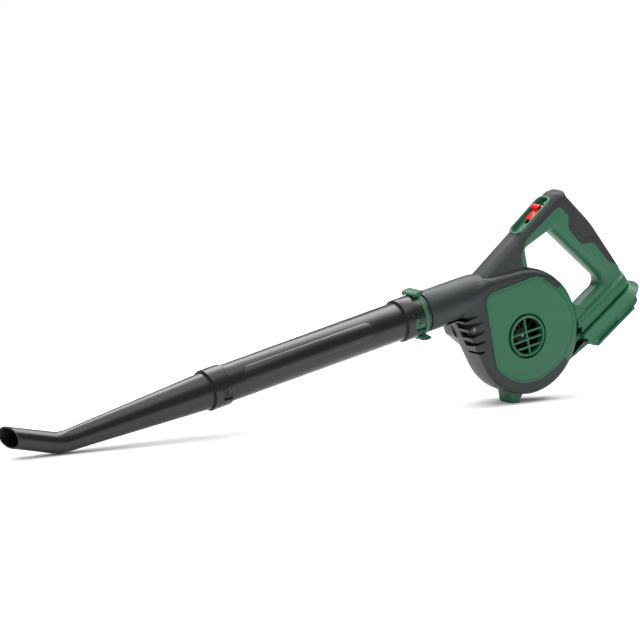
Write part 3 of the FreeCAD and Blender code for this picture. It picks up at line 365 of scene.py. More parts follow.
# The real grains are mostly finer than 0.3 mm, too fine to show, so grainMm is drawn coarser.
finishes = {
    # moulded ABS with a fine spark texture: soft, broad highlights
    "greenAbs": {"colour": "#19593c", "shade": "#165237", "specular": 0.4, "rough": (0.38, 0.46),
                 "grainMm": 0.9, "bump": 0.22, "bumpMm": 0.12},
    # glass-filled nylon, satin: dark with long even reflections
    "darkNylon": {"colour": "#202627", "shade": "#1c2223", "specular": 0.35, "rough": (0.4, 0.48),
                  "grainMm": 0.9, "bump": 0.2, "bumpMm": 0.1},
    # moulded nylon tube, smoother than the housing: a bright streak along it
    "tubeNylon": {"colour": "#111415", "shade": "#0f1213", "specular": 0.4, "rough": (0.26, 0.32),
                  "grainMm": 1.2, "bump": 0.05, "bumpMm": 0.05},
    # soft overmoulded elastomer: matt, with hardly any highlight
    "gripElastomer": {"colour": "#202324", "shade": "#1c1f20", "specular": 0.35, "rough": (0.5, 0.6),
                      "grainMm": 0.8, "bump": 0.2, "bumpMm": 0.1},
    # the same elastomer with raised dots, drawn coarser than the real ones and still faint
    "dottedElastomer": {"colour": "#1e2122", "shade": "#1b1e1f", "specular": 0.4, "rough": (0.5, 0.6),
                        "dotMm": 3.2, "bump": 1.0, "bumpMm": 1.1},
    # polished acetal knob: clean, sharp highlights
    "redAcetal": {"colour": "#e0120c", "shade": "#d40f0a", "rough": (0.28, 0.34),
                  "grainMm": 1.5, "bump": 0.04, "bumpMm": 0.05},
    # painted shade: the unlit walls inside slots and openings get this near black matt finish; the black nylon
    # inner parts wear it as their own colour
    "blackNylonAndPaintedShade": {"colour": "#060707", "shade": "#050606", "rough": (0.6, 0.7),
                   "grainMm": 1.0, "bump": 0.1, "bumpMm": 0.1},
    # zinc-plated steel screws: dull grey metal
    "zincSteel": {"colour": "#6d6f72", "shade": "#5f6164", "rough": (0.32, 0.42), "metallic": 1.0,
                  "grainMm": 0.5, "bump": 0.1, "bumpMm": 0.05},
    # drawn steel of the motor: lighter, with clearer reflections
    "drawnSteel": {"colour": "#b9bbbe", "shade": "#a9abaf", "rough": (0.3, 0.4), "metallic": 1.0,
                   "grainMm": 0.5, "bump": 0.1, "bumpMm": 0.05},
    # sintered magnet: dark metal with a granular break-up
    "sinteredMagnet": {"colour": "#3a3a3d", "shade": "#303033", "rough": (0.5, 0.6), "metallic": 1.0,
                       "grainMm": 0.4, "bump": 0.3, "bumpMm": 0.1},
    # rolled spring brass: warm and fairly smooth
    "springBrass": {"colour": "#c7a24c", "shade": "#b8933f", "rough": (0.25, 0.35), "metallic": 1.0,
                    "grainMm": 0.6, "bump": 0.05, "bumpMm": 0.05},
    # solder mask over the board: green, half gloss
    "circuitBoard": {"colour": "#0c4a2c", "shade": "#0a3f26", "rough": (0.35, 0.45),
                     "grainMm": 1.4, "bump": 0.1, "bumpMm": 0.05},
    # extruded PVC insulation: red, half gloss
    "leadPvc": {"colour": "#8a1410", "shade": "#7c110d", "rough": (0.4, 0.5),
                "grainMm": 1.0, "bump": 0.05, "bumpMm": 0.05},
    # moulded seal rubber: black and matt
    "sealRubber": {"colour": "#101112", "shade": "#0c0d0e", "rough": (0.6, 0.7),
                   "grainMm": 0.8, "bump": 0.1, "bumpMm": 0.1},
}
paint = {name: plainMaterial(name, look) for name, look in finishes.items()}
print("materials", len(paint))

# the inner parts are shown as they are, each with its finish
innerFinishes = {
    "impeller": "blackNylonAndPaintedShade", "motor_can": "drawnSteel", "motor_shaft": "drawnSteel",
    "motor_rotor": "zincSteel", "front_bearing": "drawnSteel", "rear_bearing": "drawnSteel",
    "motor_magnets": "sinteredMagnet", "battery_contacts": "springBrass", "control_board": "circuitBoard",
    "contact_block": "blackNylonAndPaintedShade", "switch_module": "blackNylonAndPaintedShade", "power_leads": "leadPvc",
    "outlet_washer": "sealRubber", "nozzle_washer": "sealRubber", "casing_screws": "zincSteel",
    "motor_screws": "zincSteel"}
for nodeName, finish in innerFinishes.items():
    node = frame["nodes"][nodeName]
    node.data.materials.clear()
    node.data.materials.append(paint[finish])


# Fan casing: two halves, with the outlet duct and the front bar's foot. In mm, as is every size.

casing = {"bottomDisc": (6.5, 0.0, 78.0), "rearDisc": (4.0, 5.0, 80.0), "ductStart": 87.0, "half": 25.0,
          "rounding": (6.0, 6.0, 90), "farRounding": (13.0, 13.0, 90), "rearRounding": (9.0, 12.0, 90),
          "shoulder": (12.0, 16.0, 90), "seam": 0.12, "barHalf": 17.0, "barRounding": (5.9, 11.0, 60),
          "chamber": 70.0, "inletEye": 29.7, "motorEye": 20.4, "motorSeat": 52.4}
# rows: height, tip and thickness of each louvre; its outer end follows the casing's front flank
louvres = {"rows": ((47.0, -67.0, 6.5), (37.0, -59.0, 8.6), (24.3, -60.0, 8.6), (11.6, -62.0, 8.2),
                    (-1.5, -65.0, 7.4)),
           "flank": (-87.0, 42.75), "flankRun": 18.5, "flankDrop": 64.25,
           "boss": (-76.0, 31.0), "bossRadius": 4.9, "headRadius": 2.9}
# stations: x, half width, drop in at the mouth's edge, sink into the casing
duct = {"radius": 26.25, "arcSteps": 48,
        "stations": ((-134.5, 26.25, 0.9, 0), (-133.9, 26.25, 0.25, 0), (-133.0, 26.25, 0, 0),
                     (-96.0, 26.25, 0, 0), (-86.0, 26.1, 0, 0), (-76.0, 25.7, 0, 0),
                     (-66.0, 25.3, 0, 0), (-56.0, 25.0, 0, 0.3), (-48.0, 24.8, 0, 1.2),
                     (-40.0, 24.7, 0.2, 3.0), (-31.0, 24.6, 0.4, 6.0), (-20.0, 24.4, 0.8, 11.0))}


def casingElements(rounding):
    bottom, rear, start = casing["bottomDisc"], casing["rearDisc"], casing["ductStart"]
    low = stance["ductHeight"] - duct["radius"]
    behind = casing["rearRounding"] if rounding[0] else rounding
    shoulder = casing["shoulder"] if rounding[0] else rounding
    return [corner(-start, 73.0, 8.0, rounding), corner(-start, low, 1.0, rounding),
            disc(*bottom, 1, behind), disc(*rear, 1, behind), corner(-46.0, 88.5, 30.0, shoulder),
            corner(-74.0, 84.0, 20.0, shoulder)]


def ductLoft(name, left):
    # Round at the outlet, then swelling into the rounded section of the casing.
    side = -1 if left else 1
    rings = []
    for x, halfWidth, dropIn, sink in duct["stations"]:
        ring = []
        for k in range(duct["arcSteps"] + 1):
            angle = math.pi * k / duct["arcSteps"]
            sinA, cosA = math.sin(angle), math.cos(angle)
            y, z = halfWidth * sinA, duct["radius"] * cosA
            scale = 1 - dropIn / duct["radius"]
            ring.append((x, side * y * scale, stance["ductHeight"] - sink + z * scale))
        rings.append(ring)
    return loftRings(name, rings, toolPlace)


def makeCasing(name, left):
    black = paint["blackNylonAndPaintedShade"]
    rounding = casing["rounding"] if left else casing["farRounding"]
    seam, half, barHalf = casing["seam"], casing["half"], casing["barHalf"]
    span, barSpan = ((-half, -seam), (-barHalf, -seam)) if left else ((seam, half), (seam, barHalf))
    shell = roundedSlab(name, casingElements(rounding), *span, toolPlace, paint["darkNylon"],
                        ends=(left, not left))
    barRise = math.tan(math.radians(stance["barSlope"]))
    barX, barZ = stance["barStart"]
    foot = barX - (barZ - stance["ductHeight"] - duct["radius"]) / barRise  # where the bar's top meets the duct's
    barElements = corners((foot - 4, 84.0), (barX - 0.15, 79.0),
                          (barX - 0.15, barZ - 0.08, 0.0, casing["barRounding"]),
                          (foot - 7, barZ - barRise * (barX - foot + 7), 0.0))
    bar = roundedSlab("bar", barElements, *barSpan, toolPlace, ends=(left, not left))
    carve(shell, [bar, ductLoft("duct", left)], "UNION")
    # the cutters' near-black material stays on the cut walls: painted shade in the chamber, the eye, the louvres
    # and the screw head
    chamberSpan = (-21.0, 5.0) if left else (-5.0, 12.0)
    tools = [rod("chamber", 4.0, 0.0, casing["chamber"], *chamberSpan, toolPlace, black, 72)]
    if left:
        tools.append(rod("eye", 0.0, 0.0, casing["inletEye"], -30.0, 0.0, toolPlace, black, 64))
        tools += [louvreTool(*row) for row in louvres["rows"]]
    else:
        tools.append(rod("motorEye", 0.0, 0.0, casing["motorEye"], 0.0, 60.0, toolPlace, black, 64))
    carve(shell, tools)
    if left:
        carve(shell, [rod("boss", *louvres["boss"], louvres["bossRadius"], -24.4, -12.0, toolPlace)], "UNION")
        carve(shell, [rod("head", *louvres["boss"], louvres["headRadius"], -30.0, -22.3, toolPlace, black, 32)])
    return shell


def louvreTool(height, tip, thick):
    # A wedge that is deep at the casing's front flank and runs out to nothing at its tip.
    flankX, flankTop = louvres["flank"]
    flank = flankX + (flankTop - height) * louvres["flankRun"] / louvres["flankDrop"]
    plan = [(-110.0, -40.0), (tip, -25.02), (flank + 9.0, -19.0), (flank + 6.5, 4.0), (-110.0, 4.0)]
    rings = []
    for rise, shrink in ((-thick / 2, 1.6), (-thick * 0.3, 0.3), (0.0, 0.0), (thick * 0.3, 0.3), (thick / 2, 1.6)):
        rings.append([(x - (shrink if x > -105 else 0) * 1.5, y, height + rise * (1.0 if x < tip - 4 else 0.35))
                      for x, y in plan])
    # its near-black material is left on the cut louvre walls as painted shade
    return loftRings("louvre", rings, toolPlace, paint["blackNylonAndPaintedShade"])


finishPiece(makeCasing("leftCasing", True), "blower", ["left_casing"])

cowl = {"start": 14.0, "half": 37.0, "rounding": (5.0, 5.0, 90)}


def makeRightCasing():
    shell = makeCasing("rightCasing", False)
    rounding = cowl["rounding"]
    hump = roundedSlab("hump", corners((-86.0, 44.0, 0.0, rounding), (-84.5, 30.0, 12.0, rounding),
                                       (-83.0, 20.5, 7.0, rounding), (-62.0, -4.5, 14.0, rounding),
                                       (-44.0, -26.0, 0.0, rounding),
                                       (-24.0, 44.0, 0.0, rounding)),
                       cowl["start"], cowl["half"], toolPlace, ends=(False, True))
    carve(shell, [hump], "UNION")
    # the motor eye's cut wall takes the near-black material: painted shade
    carve(shell, [rod("motorSeat", 0.0, 0.0, casing["motorSeat"], casing["half"], 60.0, toolPlace, None, 96),
                  rod("motorEye", 0.0, 0.0, casing["motorEye"], 0.0, 60.0, toolPlace, paint["blackNylonAndPaintedShade"], 64)])
    return shell


finishPiece(makeRightCasing(), "blower", ["right_casing"])


# The spigot behind the lock ring, part of the casing, drawn near black as painted shade in the gap behind the
# ring.
spigotSize = {"front": -165.0, "step": -141.0, "back": -132.0, "bore": 20.5, "outside": 22.9, "root": 24.0}
neckSize = {"front": -140.8, "back": -136.4, "inside": 23.9, "outside": 25.5, "corner": 0.5}


def makeSpigot():
    size = spigotSize
    return turnedPiece("ductSpigot", corners((size["front"], size["bore"]), (size["back"], size["bore"]),
                                             (size["back"], size["root"]), (size["step"], size["root"]),
                                             (size["step"], size["outside"]),
                                             (size["front"], size["outside"])),
                       tubePlace, paint["blackNylonAndPaintedShade"])


def makeNeckRing():
    size = neckSize
    return turnedPiece("neckRing", corners((size["front"], size["inside"]), (size["back"], size["inside"]),
                                           (size["back"], size["outside"], size["corner"]),
                                           (size["front"], size["outside"], size["corner"])),
                       tubePlace, paint["darkNylon"])


finishPiece(makeSpigot(), "blower")
finishPiece(makeNeckRing(), "blower")


# Fan cover, with the grille in a round moat.
cover = {"face": 25.0, "inlet": 24.6, "moat": 29.4, "barWidth": 2.5, "barPitch": 0.39,
         "discs": ((2.0, 0.0, 61.0), (14.0, 4.0, 61.0), (25.0, 49.0, 22.0), (-40.0, 57.0, 13.0),
                   (-30.0, -20.0, 24.0)),
         "edge": ((0.0, 1.5), (0.0, -0.9), (0.4, -1.6), (1.0, -2.0), (1.9, -2.0), (2.3, -1.4), (2.9, -1.4),
                  (3.4, -1.85))}


def makeFanCover():
    face, inlet, moat = cover["face"], cover["inlet"], cover["moat"]
    plate = profileSlab("fanCover", [disc(*spot) for spot in cover["discs"]],
                        [(inset, rise - face) for inset, rise in cover["edge"]], toolPlace, paint["greenAbs"])
    # a round moat falls to a floor behind the face, and the grille's ring stands proud of it
    carve(plate, [rod("opening", 0.0, 0.0, moat, -30.0, -20.0, toolPlace, None, 96)])
    well = turnedAcross("well", [(moat + 0.2, -face - 0.9), (moat + 0.2, -face + 5.6),
                                 (inlet - 1.2, -face + 5.6), (inlet - 1.2, -face + 4.2),
                                 (moat - 1.4, -face + 4.2), (moat - 0.3, -face - 0.9)])
    ring = turnedAcross("ring", [(inlet - 1.2, -face - 2.9), (inlet - 0.6, -face - 3.4),
                                 (inlet + 0.9, -face - 3.4), (inlet + 1.5, -face - 2.8),
                                 (inlet + 1.9, -face + 4.4), (inlet - 1.2, -face + 4.4)])
    carve(plate, [well], "UNION")
    tools = [ring]
    pitch = inlet * cover["barPitch"]
    for step in (-1.5, -0.5, 0.5, 1.5):
        reach = (inlet + 0.5) * math.sqrt(1 - (cover["barPitch"] * step) ** 2)
        tools.append(grilleBar(-reach, reach, pitch * step, False))
    tools.append(grilleBar(-inlet, inlet, 0.0, True))
    carve(plate, tools, "UNION")
    return plate


def turnedAcross(name, profile, steps=96):
    # Turned about the fan axis: profile holds (radius, y).
    rings = []
    for k in range(steps):
        angle = 2 * math.pi * k / steps
        rings.append([(r * math.cos(angle), y, r * math.sin(angle)) for r, y in profile])
    return loftRings(name, rings, toolPlace, None, closed=True)


def grilleBar(low, high, middle, upright):
    half = cover["barWidth"] / 2
    back, front, crest = -24.6, -26.6, -27.2
    section = ((-half, back), (-half, front), (-half + 0.5, crest), (half - 0.5, crest), (half, front),
               (half, back))
    rings = []
    for end in (low, high):
        if upright:
            rings.append([(middle + a, y + 0.15, end) for a, y in section])
        else:
            rings.append([(end, y, middle + a) for a, y in section])
    return loftRings("bar", rings, toolPlace)


finishPiece(makeFanCover(), "blower", ["fan_cover"], sharp=40)


coverFlank = {"grow": 0.3, "fromAngle": -49.0, "toAngle": 32.0}


def makeCoverFlank():
    # the cover wraps over the casing's rear rounding as a thin green skin
    grow, fromAngle, toAngle = coverFlank["grow"], coverFlank["fromAngle"], coverFlank["toAngle"]
    (bx, bz, br), (rx, rz, rr) = casing["bottomDisc"], casing["rearDisc"]
    rounding = casing["rearRounding"]
    skin = roundedSlab("coverFlank", [corner(-60.0, 80.0, 4.0, rounding), disc(bx, bz, br + grow, 1, rounding),
                                      disc(rx, rz, rr + grow, 1, rounding)],
                       -casing["half"] - 0.1, -3.0, toolPlace, paint["greenAbs"], 8, (True, False))
    wedge = [(rx + radius * math.cos(math.radians(angle)), rz + radius * math.sin(math.radians(angle)))
             for radius, angle in ((55.0, fromAngle + 5), (120.0, fromAngle), (150.0, 0.0), (120.0, toAngle),
                                   (55.0, toAngle + 6))]
    sector = profileSlab("wedge", [corner(x, z) for x, z in wedge], ((0.0, -40.0), (0.0, 0.0)), toolPlace)
    return carve(skin, [sector], "INTERSECT")


finishPiece(makeCoverFlank(), "blower")


# Motor cover on the far side.

motorCover = {"rim": 25.0, "back": 48.0, "outer": 52.0, "vents": 10, "ventFrom": 24.0, "ventTo": 36.0,
              "ventHalf": 2.0, "ventCorner": 1.9, "screwSet": 14.0, "headRadius": 1.7}


def makeMotorCover():
    rim, back, outer = motorCover["rim"], motorCover["back"], motorCover["outer"]
    cup = turnedAcross("motorCover", [(outer - 2.6, rim), (outer, rim), (outer - 0.8, 30.0), (outer - 2.0, 38.0),
                                      (outer - 3.6, 43.0), (outer - 6.5, 46.4), (outer - 10.0, 47.6),
                                      (outer - 14.0, back), (0.0, back), (0.0, back - 2.6),
                                      (outer - 14.0, back - 2.6), (outer - 10.4, 45.0), (outer - 8.4, 43.6), (outer - 6.4, 41.0),
                                      (outer - 4.6, 37.0)])
    cup.data.materials.append(paint["darkNylon"])
    low, high, half, radius = (motorCover[key] for key in ("ventFrom", "ventTo", "ventHalf", "ventCorner"))
    outline = oblong(low, high, -half, half, radius, radius)
    # the vents' cut walls take the near-black material: painted shade
    tools = []
    for k in range(motorCover["vents"]):
        place = toolPlace @ Matrix.Rotation(2 * math.pi * k / motorCover["vents"], 4, "Y")
        tools.append(roundedSlab("vent", outline, 44.0, 50.0, place, paint["blackNylonAndPaintedShade"], 1, (False, False)))
    for x in (-motorCover["screwSet"], motorCover["screwSet"]):
        tools.append(rod("head", x, 0.0, motorCover["headRadius"], 40.0, 60.0, toolPlace, None, 24))
    carve(cup, tools)
    return cup


finishPiece(makeMotorCover(), "blower", ["motor_cover"])
print("casing, cover and motor cover done")


# Handle: one body cut into two green halves and the grip's soft skin.
handle = {"half": 17.0, "seamGap": 0.35, "casingGap": 0.35, "split": 0.08, "panelGroove": 0.4}
gripSeam = [(149.0, 54.0, 8.0), (132.0, 84.5, 6.0), (112.0, 88.5, 8.0), (97.0, 113.2, 10.0), (100.5, 130.2, 8.0),
            (88.5, 147.2, 8.0), (29.0, 118.2, 14.0), (18.0, 103.2, 0.0)]


def handleElements():
    return [corner(18.0, 86.2), corner(26.7, 83.0, 0.0, (2.6, 6.0, 90)), corner(26.7, 107.0, 4.0, (3.6, 7.0, 90)),
            corner(71.0, 120.0, 8.0, (11.0, 14.5, 90)), corner(140.2, 29.0, 10.0, (8.5, 16.0, 80)),
            corner(85.2, 3.6), disc(6.5, 0.0, 78.4, -1),
            corner(65.3, -53.5), corner(100.0, -41.0), corner(176.0, -10.0, 0.0, (7.0, 12.0, 90)),
            corner(168.5, 42.0, 40.0, (9.0, 13.0, 90)), corner(136.5, 109.7, 150.0, (9.0, 13.0, 90)),
            corner(105.5, 155.7, 14.0, (8.0, 11.0, 85)), corner(103.5, 162.8, 5.0, (7.0, 11.0, 75)),
            corner(90.0, 162.8, 16.0, (5.9, 11.0, 60)), corner(18.0, 124.2)]


def seamPrism(name, growth, reach=40.0):
    # everything on the green side of the grip's seam
    seam = [corner(x, z, r) for x, z, r in gripSeam]
    seam[-1] = corner(10.0, 88.0)
    around = corners((10.0, 60.0), (26.0, -80.0), (230.0, -60.0), (230.0, 62.0), (168.5, 42.0))
    return profileSlab(name, around + seam, ((-growth, -reach), (-growth, reach)), toolPlace)


def planSlab(name, u0, u1, half, rounds, profile, material=None):
    front, rear = rounds
    return profileSlab(name, oblong(u0, u1, -half, half, front, rear), profile, basePlace @ standUp, material)


# plates under the grip: name, start, end, half width, (front, rear) radius, then
# (inset, height) pairs up the rim
basePlates = (
    ("shelf", 66.0, 172.0, 22.0, (3.0, 21.5),
     ((0.5, -58.0), (0.0, -57.2), (0.0, -45.0), (0.4, -44.2), (1.4, -43.5), (3.5, -42.6), (6.5, -41.7),
      (10.0, -41.1), (14.0, -40.7))),
    ("waist", 70.0, 169.0, 18.0, (4.0, 17.5), ((0.0, -64.0), (0.0, -56.0))),
    ("skirt", 60.0, 180.0, 33.0, (8.0, 32.0),
     ((0.8, -71.5), (0.0, -70.9), (0.5, -70.0), (7.6, -62.2), (8.3, -61.3), (9.5, -60.9))),
    ("neck", 72.0, 166.0, 29.0, (3.0, 20.0), ((0.0, -82.0), (0.0, -70.8))),
    ("rail", 73.0, 147.0, 33.0, (1.5, 1.5), ((0.5, -83.2), (0.0, -82.8), (0.0, -80.6), (0.4, -80.2))),
    ("endBlock", 73.0, 80.0, 31.5, (1.5, 1.5), ((0.0, -82.0), (0.0, -71.0))),
    ("step", 118.0, 147.0, 30.2, (0.6, 0.6), ((0.0, -80.5), (0.0, -71.0))))
flareRim = ((-7.5, -46.0), (-7.2, -43.2), (-6.0, -42.0), (-4.6, -40.2), (-3.4, -37.8), (-2.6, -34.5),
            (-2.2, -30.0), (-2.0, -24.0))
gussetRim = ((0.7, -18.2), (0.0, -17.5), (0.0, 17.5), (0.7, 18.2))


def makeHandleBody():
    half, gap = handle["half"], handle["casingGap"]
    body = roundedSlab("handleBody", handleElements(), -half, half, toolPlace, paint["greenAbs"], steps=9)
    flare = corners((139.0, -11.5, 9.5), (164.0, -13.0, 11.0), (164.0, 13.0, 11.0),
                    (139.0, 11.5, 9.5))
    gusset = corners((70.0, -6.0), (84.0, -8.0), (100.0, -2.0), (99.1, 6.5, 1.0), (81.6, 17.8),
                     (70.0, 20.0))
    parts = [profileSlab("flare", flare, flareRim, basePlace @ standUp)]
    parts += [planSlab(*plate) for plate in basePlates]
    parts.append(profileSlab("gusset", gusset, gussetRim, toolPlace))
    carve(body, parts, "UNION")
    # clear of the casing
    room = profileSlab("room", casingElements((0, 0, 90)), ((-gap, -27.4), (-gap, 25.5)), toolPlace)
    carve(body, [room])
    return body


def makeChannel():
    # the channel's cut walls take the near-black material: painted shade
    route = corners((24.0, 111.5), (60.0, 122.0), (74.5, 123.0, 3.0), (143.5, 31.0, 3.0), (137.5, 12.5),
                    (161.0, 23.5), (156.0, 46.0), (135.5, 97.2, 60.0), (103.0, 147.2, 8.0), (99.0, 155.5, 4.0),
                    (85.0, 154.0), (24.0, 121.5))
    return profileSlab("channel", route, ((0.0, -9.0), (0.0, 9.0)), toolPlace, paint["blackNylonAndPaintedShade"])


bezelSize = {"start": 5.0, "end": 74.0, "half": 14.0, "depth": 6.5, "rim": 1.2, "floor": 2.4, "wall": 3.2,
             "ledges": ((9.5, 21.2), (61.5, 68.0))}


def bezelPlan(growth, radius):
    start, end, half = bezelSize["start"] - growth, bezelSize["end"] + growth, bezelSize["half"] + growth
    return oblong(start, end, -half, half, radius, radius)


# the pockets between the casing and the base, cut in from both sides, their walls near black as painted shade
pocketOutlines = ([(70.0, -22.0), (78.8, -18.4), (88.4, -13.8), (86.7, -23.8), (74.4, -29.3), (66.0, -32.0)],
                  [(60.0, -46.0), (72.2, -35.9), (88.6, -30.4), (91.2, -37.2), (76.0, -46.0), (66.0, -50.0)])


def makeHollows():
    # every hollow's cut walls take the near-black material: painted shade
    black = paint["blackNylonAndPaintedShade"]
    hollows = [profileSlab("bezelRoom", bezelPlan(0.15, 11.0), ((0.0, -bezelSize["depth"]), (0.0, 14.0)),
                           barPlace @ standUp, black), makeChannel(),
               planSlab("bay", 86.0, 160.0, 15.9, (3.0, 3.0), ((0.0, -67.4), (0.0, -43.8)), black),
               planSlab("well", 99.8, 140.2, 15.2, (0.5, 0.5), ((0.0, -90.0), (0.0, -60.0)), black)]
    for outline in pocketOutlines:
        for side in (-1, 1):
            hollows.append(profileSlab("pocket", [corner(x, z, 1.2) for x, z in outline],
                                       ((0.0, side * 30.0), (0.0, side * 7.0)), toolPlace, black))
    return hollows


handleBody = makeHandleBody()
carve(handleBody, makeHollows())
greenPrism = seamPrism("greenPrism", 0.0)
gapPrism = seamPrism("gapPrism", handle["seamGap"])
overmold = copyOf(handleBody, "gripOvermold")
carve(overmold, [gapPrism])
overmold.data.materials[0] = paint["gripElastomer"]
carve(handleBody, [greenPrism], "INTERSECT")
rightHandle = copyOf(handleBody, "rightHandle")
leftHandle = handleBody
leftHandle.name = "leftHandle"
carve(rightHandle, [block("half", (-50, -60, -150), (260, handle["split"], 260), toolPlace)])
carve(leftHandle, [block("half", (-50, -handle["split"], -150), (260, 60, 260), toolPlace)])
finishPiece(leftHandle, "blower", ["left_handle"])
finishPiece(rightHandle, "blower", ["right_handle"])

# the dotted panel on both sides of the grip, set in a fine groove
panelEdge = corners((168.0, 60.0, 2.0), (168.0, 175.0, 2.0), (112.0, 160.0, 2.0), (108.5, 134.0, 9.0),
                    (104.0, 116.0, 10.0), (116.5, 94.5, 7.0), (136.5, 91.0, 7.0),
                    (150.0, 70.0, 4.0))
panelPrism = profileSlab("panelPrism", panelEdge, ((0.0, -30.0), (0.0, 30.0)), toolPlace)
panelRoom = profileSlab("panelRoom", panelEdge, [(-handle["panelGroove"], y) for y in (-30.0, 30.0)], toolPlace)
panel = copyOf(overmold, "gripPanel")
carve(panel, [panelPrism], "INTERSECT")
panel.data.materials[0] = paint["dottedElastomer"]
carve(overmold, [panelRoom])
finishPiece(panel, "blower")
finishPiece(overmold, "blower", ["grip_overmold"])

# spots: x, z and how far the head's outer face lies from the middle
handleScrews = {"spots": ((84.0, 126.0, 11.5), (122.0, 66.0, 9.0)), "headRadius": 3.0, "headDepth": 3.0,
                "shankRadius": 1.5, "shankEnd": 8.0}


def makeHandleScrews():
    # set deep enough to lie inside the grip's rounded skin
    size = handleScrews
    screws = None
    for x, z, depth in size["spots"]:
        for radius, low, high in ((size["headRadius"], -depth, size["headDepth"] - depth),
                                  (size["shankRadius"], size["headDepth"] - 0.1 - depth, size["shankEnd"])):
            part = rod("handleScrews", x, z, radius, low, high, toolPlace, paint["zincSteel"], 24)
            screws = part if screws is None else carve(screws, [part], "UNION")
    return screws


finishPiece(makeHandleScrews(), "blower", ["handle_screws"])
print("handle done")


# Switch: the bezel in the front bar and the knob that slides in it.

def makeBezel():
    low = -bezelSize["depth"]
    rim = bezelSize["rim"]
    frameSolid = profileSlab("switchBezel", bezelPlan(0.0, 11.0),
                             ((0.0, low + 0.05), (0.0, rim - 0.5), (0.5, rim)), barPlace @ standUp,
                             paint["greenAbs"])
    inner = profileSlab("recess", bezelPlan(-bezelSize["wall"], 8.5),
                        ((0.6, low + bezelSize["floor"]), (0.0, rim - 0.6), (-0.8, rim + 0.4), (-0.8, 5.0)),
                        barPlace @ standUp)
    # the slot's cut walls take the near-black material: painted shade
    slot = block("slot", (28.0, -4.0, low - 1), (51.0, 4.0, low + 4), barPlace, paint["blackNylonAndPaintedShade"])
    pit = profileSlab("pit", oblong(60.0, 70.5, -8.5, 8.5, 4.5, 4.5), ((0.5, low + 0.7), (0.0, low + 4.0)),
                      barPlace @ standUp)
    carve(frameSolid, [inner, slot, pit])
    # light ledges that the knob runs between
    for start, end in bezelSize["ledges"]:
        ledge = profileSlab("ledge", oblong(start, end, -9.0, -3.0, 2.0, 1.0),
                            ((0.0, low + 2.0), (0.0, low + 4.4), (0.4, low + 4.8)), barPlace @ standUp)
        carve(frameSolid, [ledge], "UNION")
    return frameSolid


sliderSize = {"start": 34.0, "end": 59.5, "half": 7.0, "corner": 1.5, "knobHalf": 7.4}


def makeSlider():
    size = sliderSize
    floor = -bezelSize["depth"] + bezelSize["floor"]
    start, end, half, radius, knobHalf = (size[key] for key in ("start", "end", "half", "corner", "knobHalf"))
    plate = profileSlab("switchSlider", oblong(start, end, -half, half, radius, radius),
                        ((0.0, floor + 0.35), (0.0, floor + 1.6), (0.3, floor + 1.95)), barPlace @ standUp,
                        paint["redAcetal"])
    stem = roundedSlab("stem", corners((49.5, floor + 1.0), (56.5, floor + 1.0), (55.6, 0.5, 3.0),
                                       (57.8, 2.9, 0.8), (49.6, 2.9, 0.9), (50.6, 0.5, 3.0)),
                       -knobHalf, knobHalf, barPlace, None, 1, (False, False))
    tail = block("tail", (42.2, -2.9, -bezelSize["depth"] - 3.8), (48.8, 2.9, floor + 1.0), barPlace)
    carve(plate, [stem, tail], "UNION")
    return plate


finishPiece(makeBezel(), "blower", ["switch_bezel"])
finishPiece(makeSlider(), "slider", ["switch_slider"], edge=0.5)


# Foot, modelled level on the floor.

footSize = {"bottom": 5.5, "front": -9.4, "rear": 14.4, "height": 16.2, "half": 14.0, "rounding": (1.5, 1.5, 90),
            "seatX": 6.5, "seatRadius": 78.1}


def makeFoot():
    size, rounding = footSize, footSize["rounding"]
    level = Matrix.Scale(mm, 4)
    foot = roundedSlab("standFoot", corners((-size["bottom"], 0.0, 2.0, rounding),
                                            (size["bottom"], 0.0, 1.2, rounding),
                                            (size["rear"], size["height"], 0.0, rounding),
                                            (size["front"], size["height"], 0.0, rounding)),
                       -size["half"], size["half"], level, paint["greenAbs"], steps=4)
    centre = toolPlace @ Vector((size["seatX"], 0, 0))
    seat = rod("seat", centre.x / mm, centre.z / mm, size["seatRadius"], -20.0, 20.0, level, None, 160)
    return carve(foot, [seat])


finishPiece(makeFoot(), "blower", ["stand_foot"])


# Lock ring and tubes, all turned about the air tube's axis.

def sector(points, half, middle=0.0, steps=14):
    # A piece of a ring about the tube's axis from points of (x, radius), middle being its angle.
    # Points beyond flatFrom lie on a flat face instead of round it.
    flatFrom = 29.0
    rings = []
    for k in range(steps + 1):
        part = 2 * k / steps - 1
        angle = math.radians(middle + half * part)
        flat = 1 / math.cos(math.radians(half * part))
        reached = [(x, r * flat if r > flatFrom else r) for x, r in points]
        rings.append([(x, r * math.sin(angle), r * math.cos(angle)) for x, r in reached])
    return loftRings("sector", rings, tubePlace)


# The collars' rear edges, their pins' places and the slots that the pins run in.
bayonet = {"ringEdge": -146.3, "ringPin": -159.3, "nozzleEdge": -441.3, "nozzlePin": -454.3, "pinRadius": 2.6,
           "slotHalf": 3.3, "slotReach": 30.0}


def makeLockRing():
    ring = turnedPiece("lockRing", corners((-165.0, 23.1), (-141.2, 23.1), (-141.0, 25.0), (-141.0, 27.5, 0.8),
                                           (-146.0, 27.5, 0.8), (-146.0, 25.1),
                                           (-165.0, 25.1, 0.3)), tubePlace, paint["greenAbs"])
    tab = [(-150.4, 28.1), (-145.2, 28.1), (-145.0, 26.6), (-141.0, 26.6), (-135.2, 29.6), (-135.2, 31.0),
           (-136.2, 31.9), (-143.0, 32.4), (-148.6, 31.0), (-150.4, 29.9)]
    carve(ring, [sector(tab, 25.0, middle) for middle in (0.0, 180.0)], "UNION")
    return ring


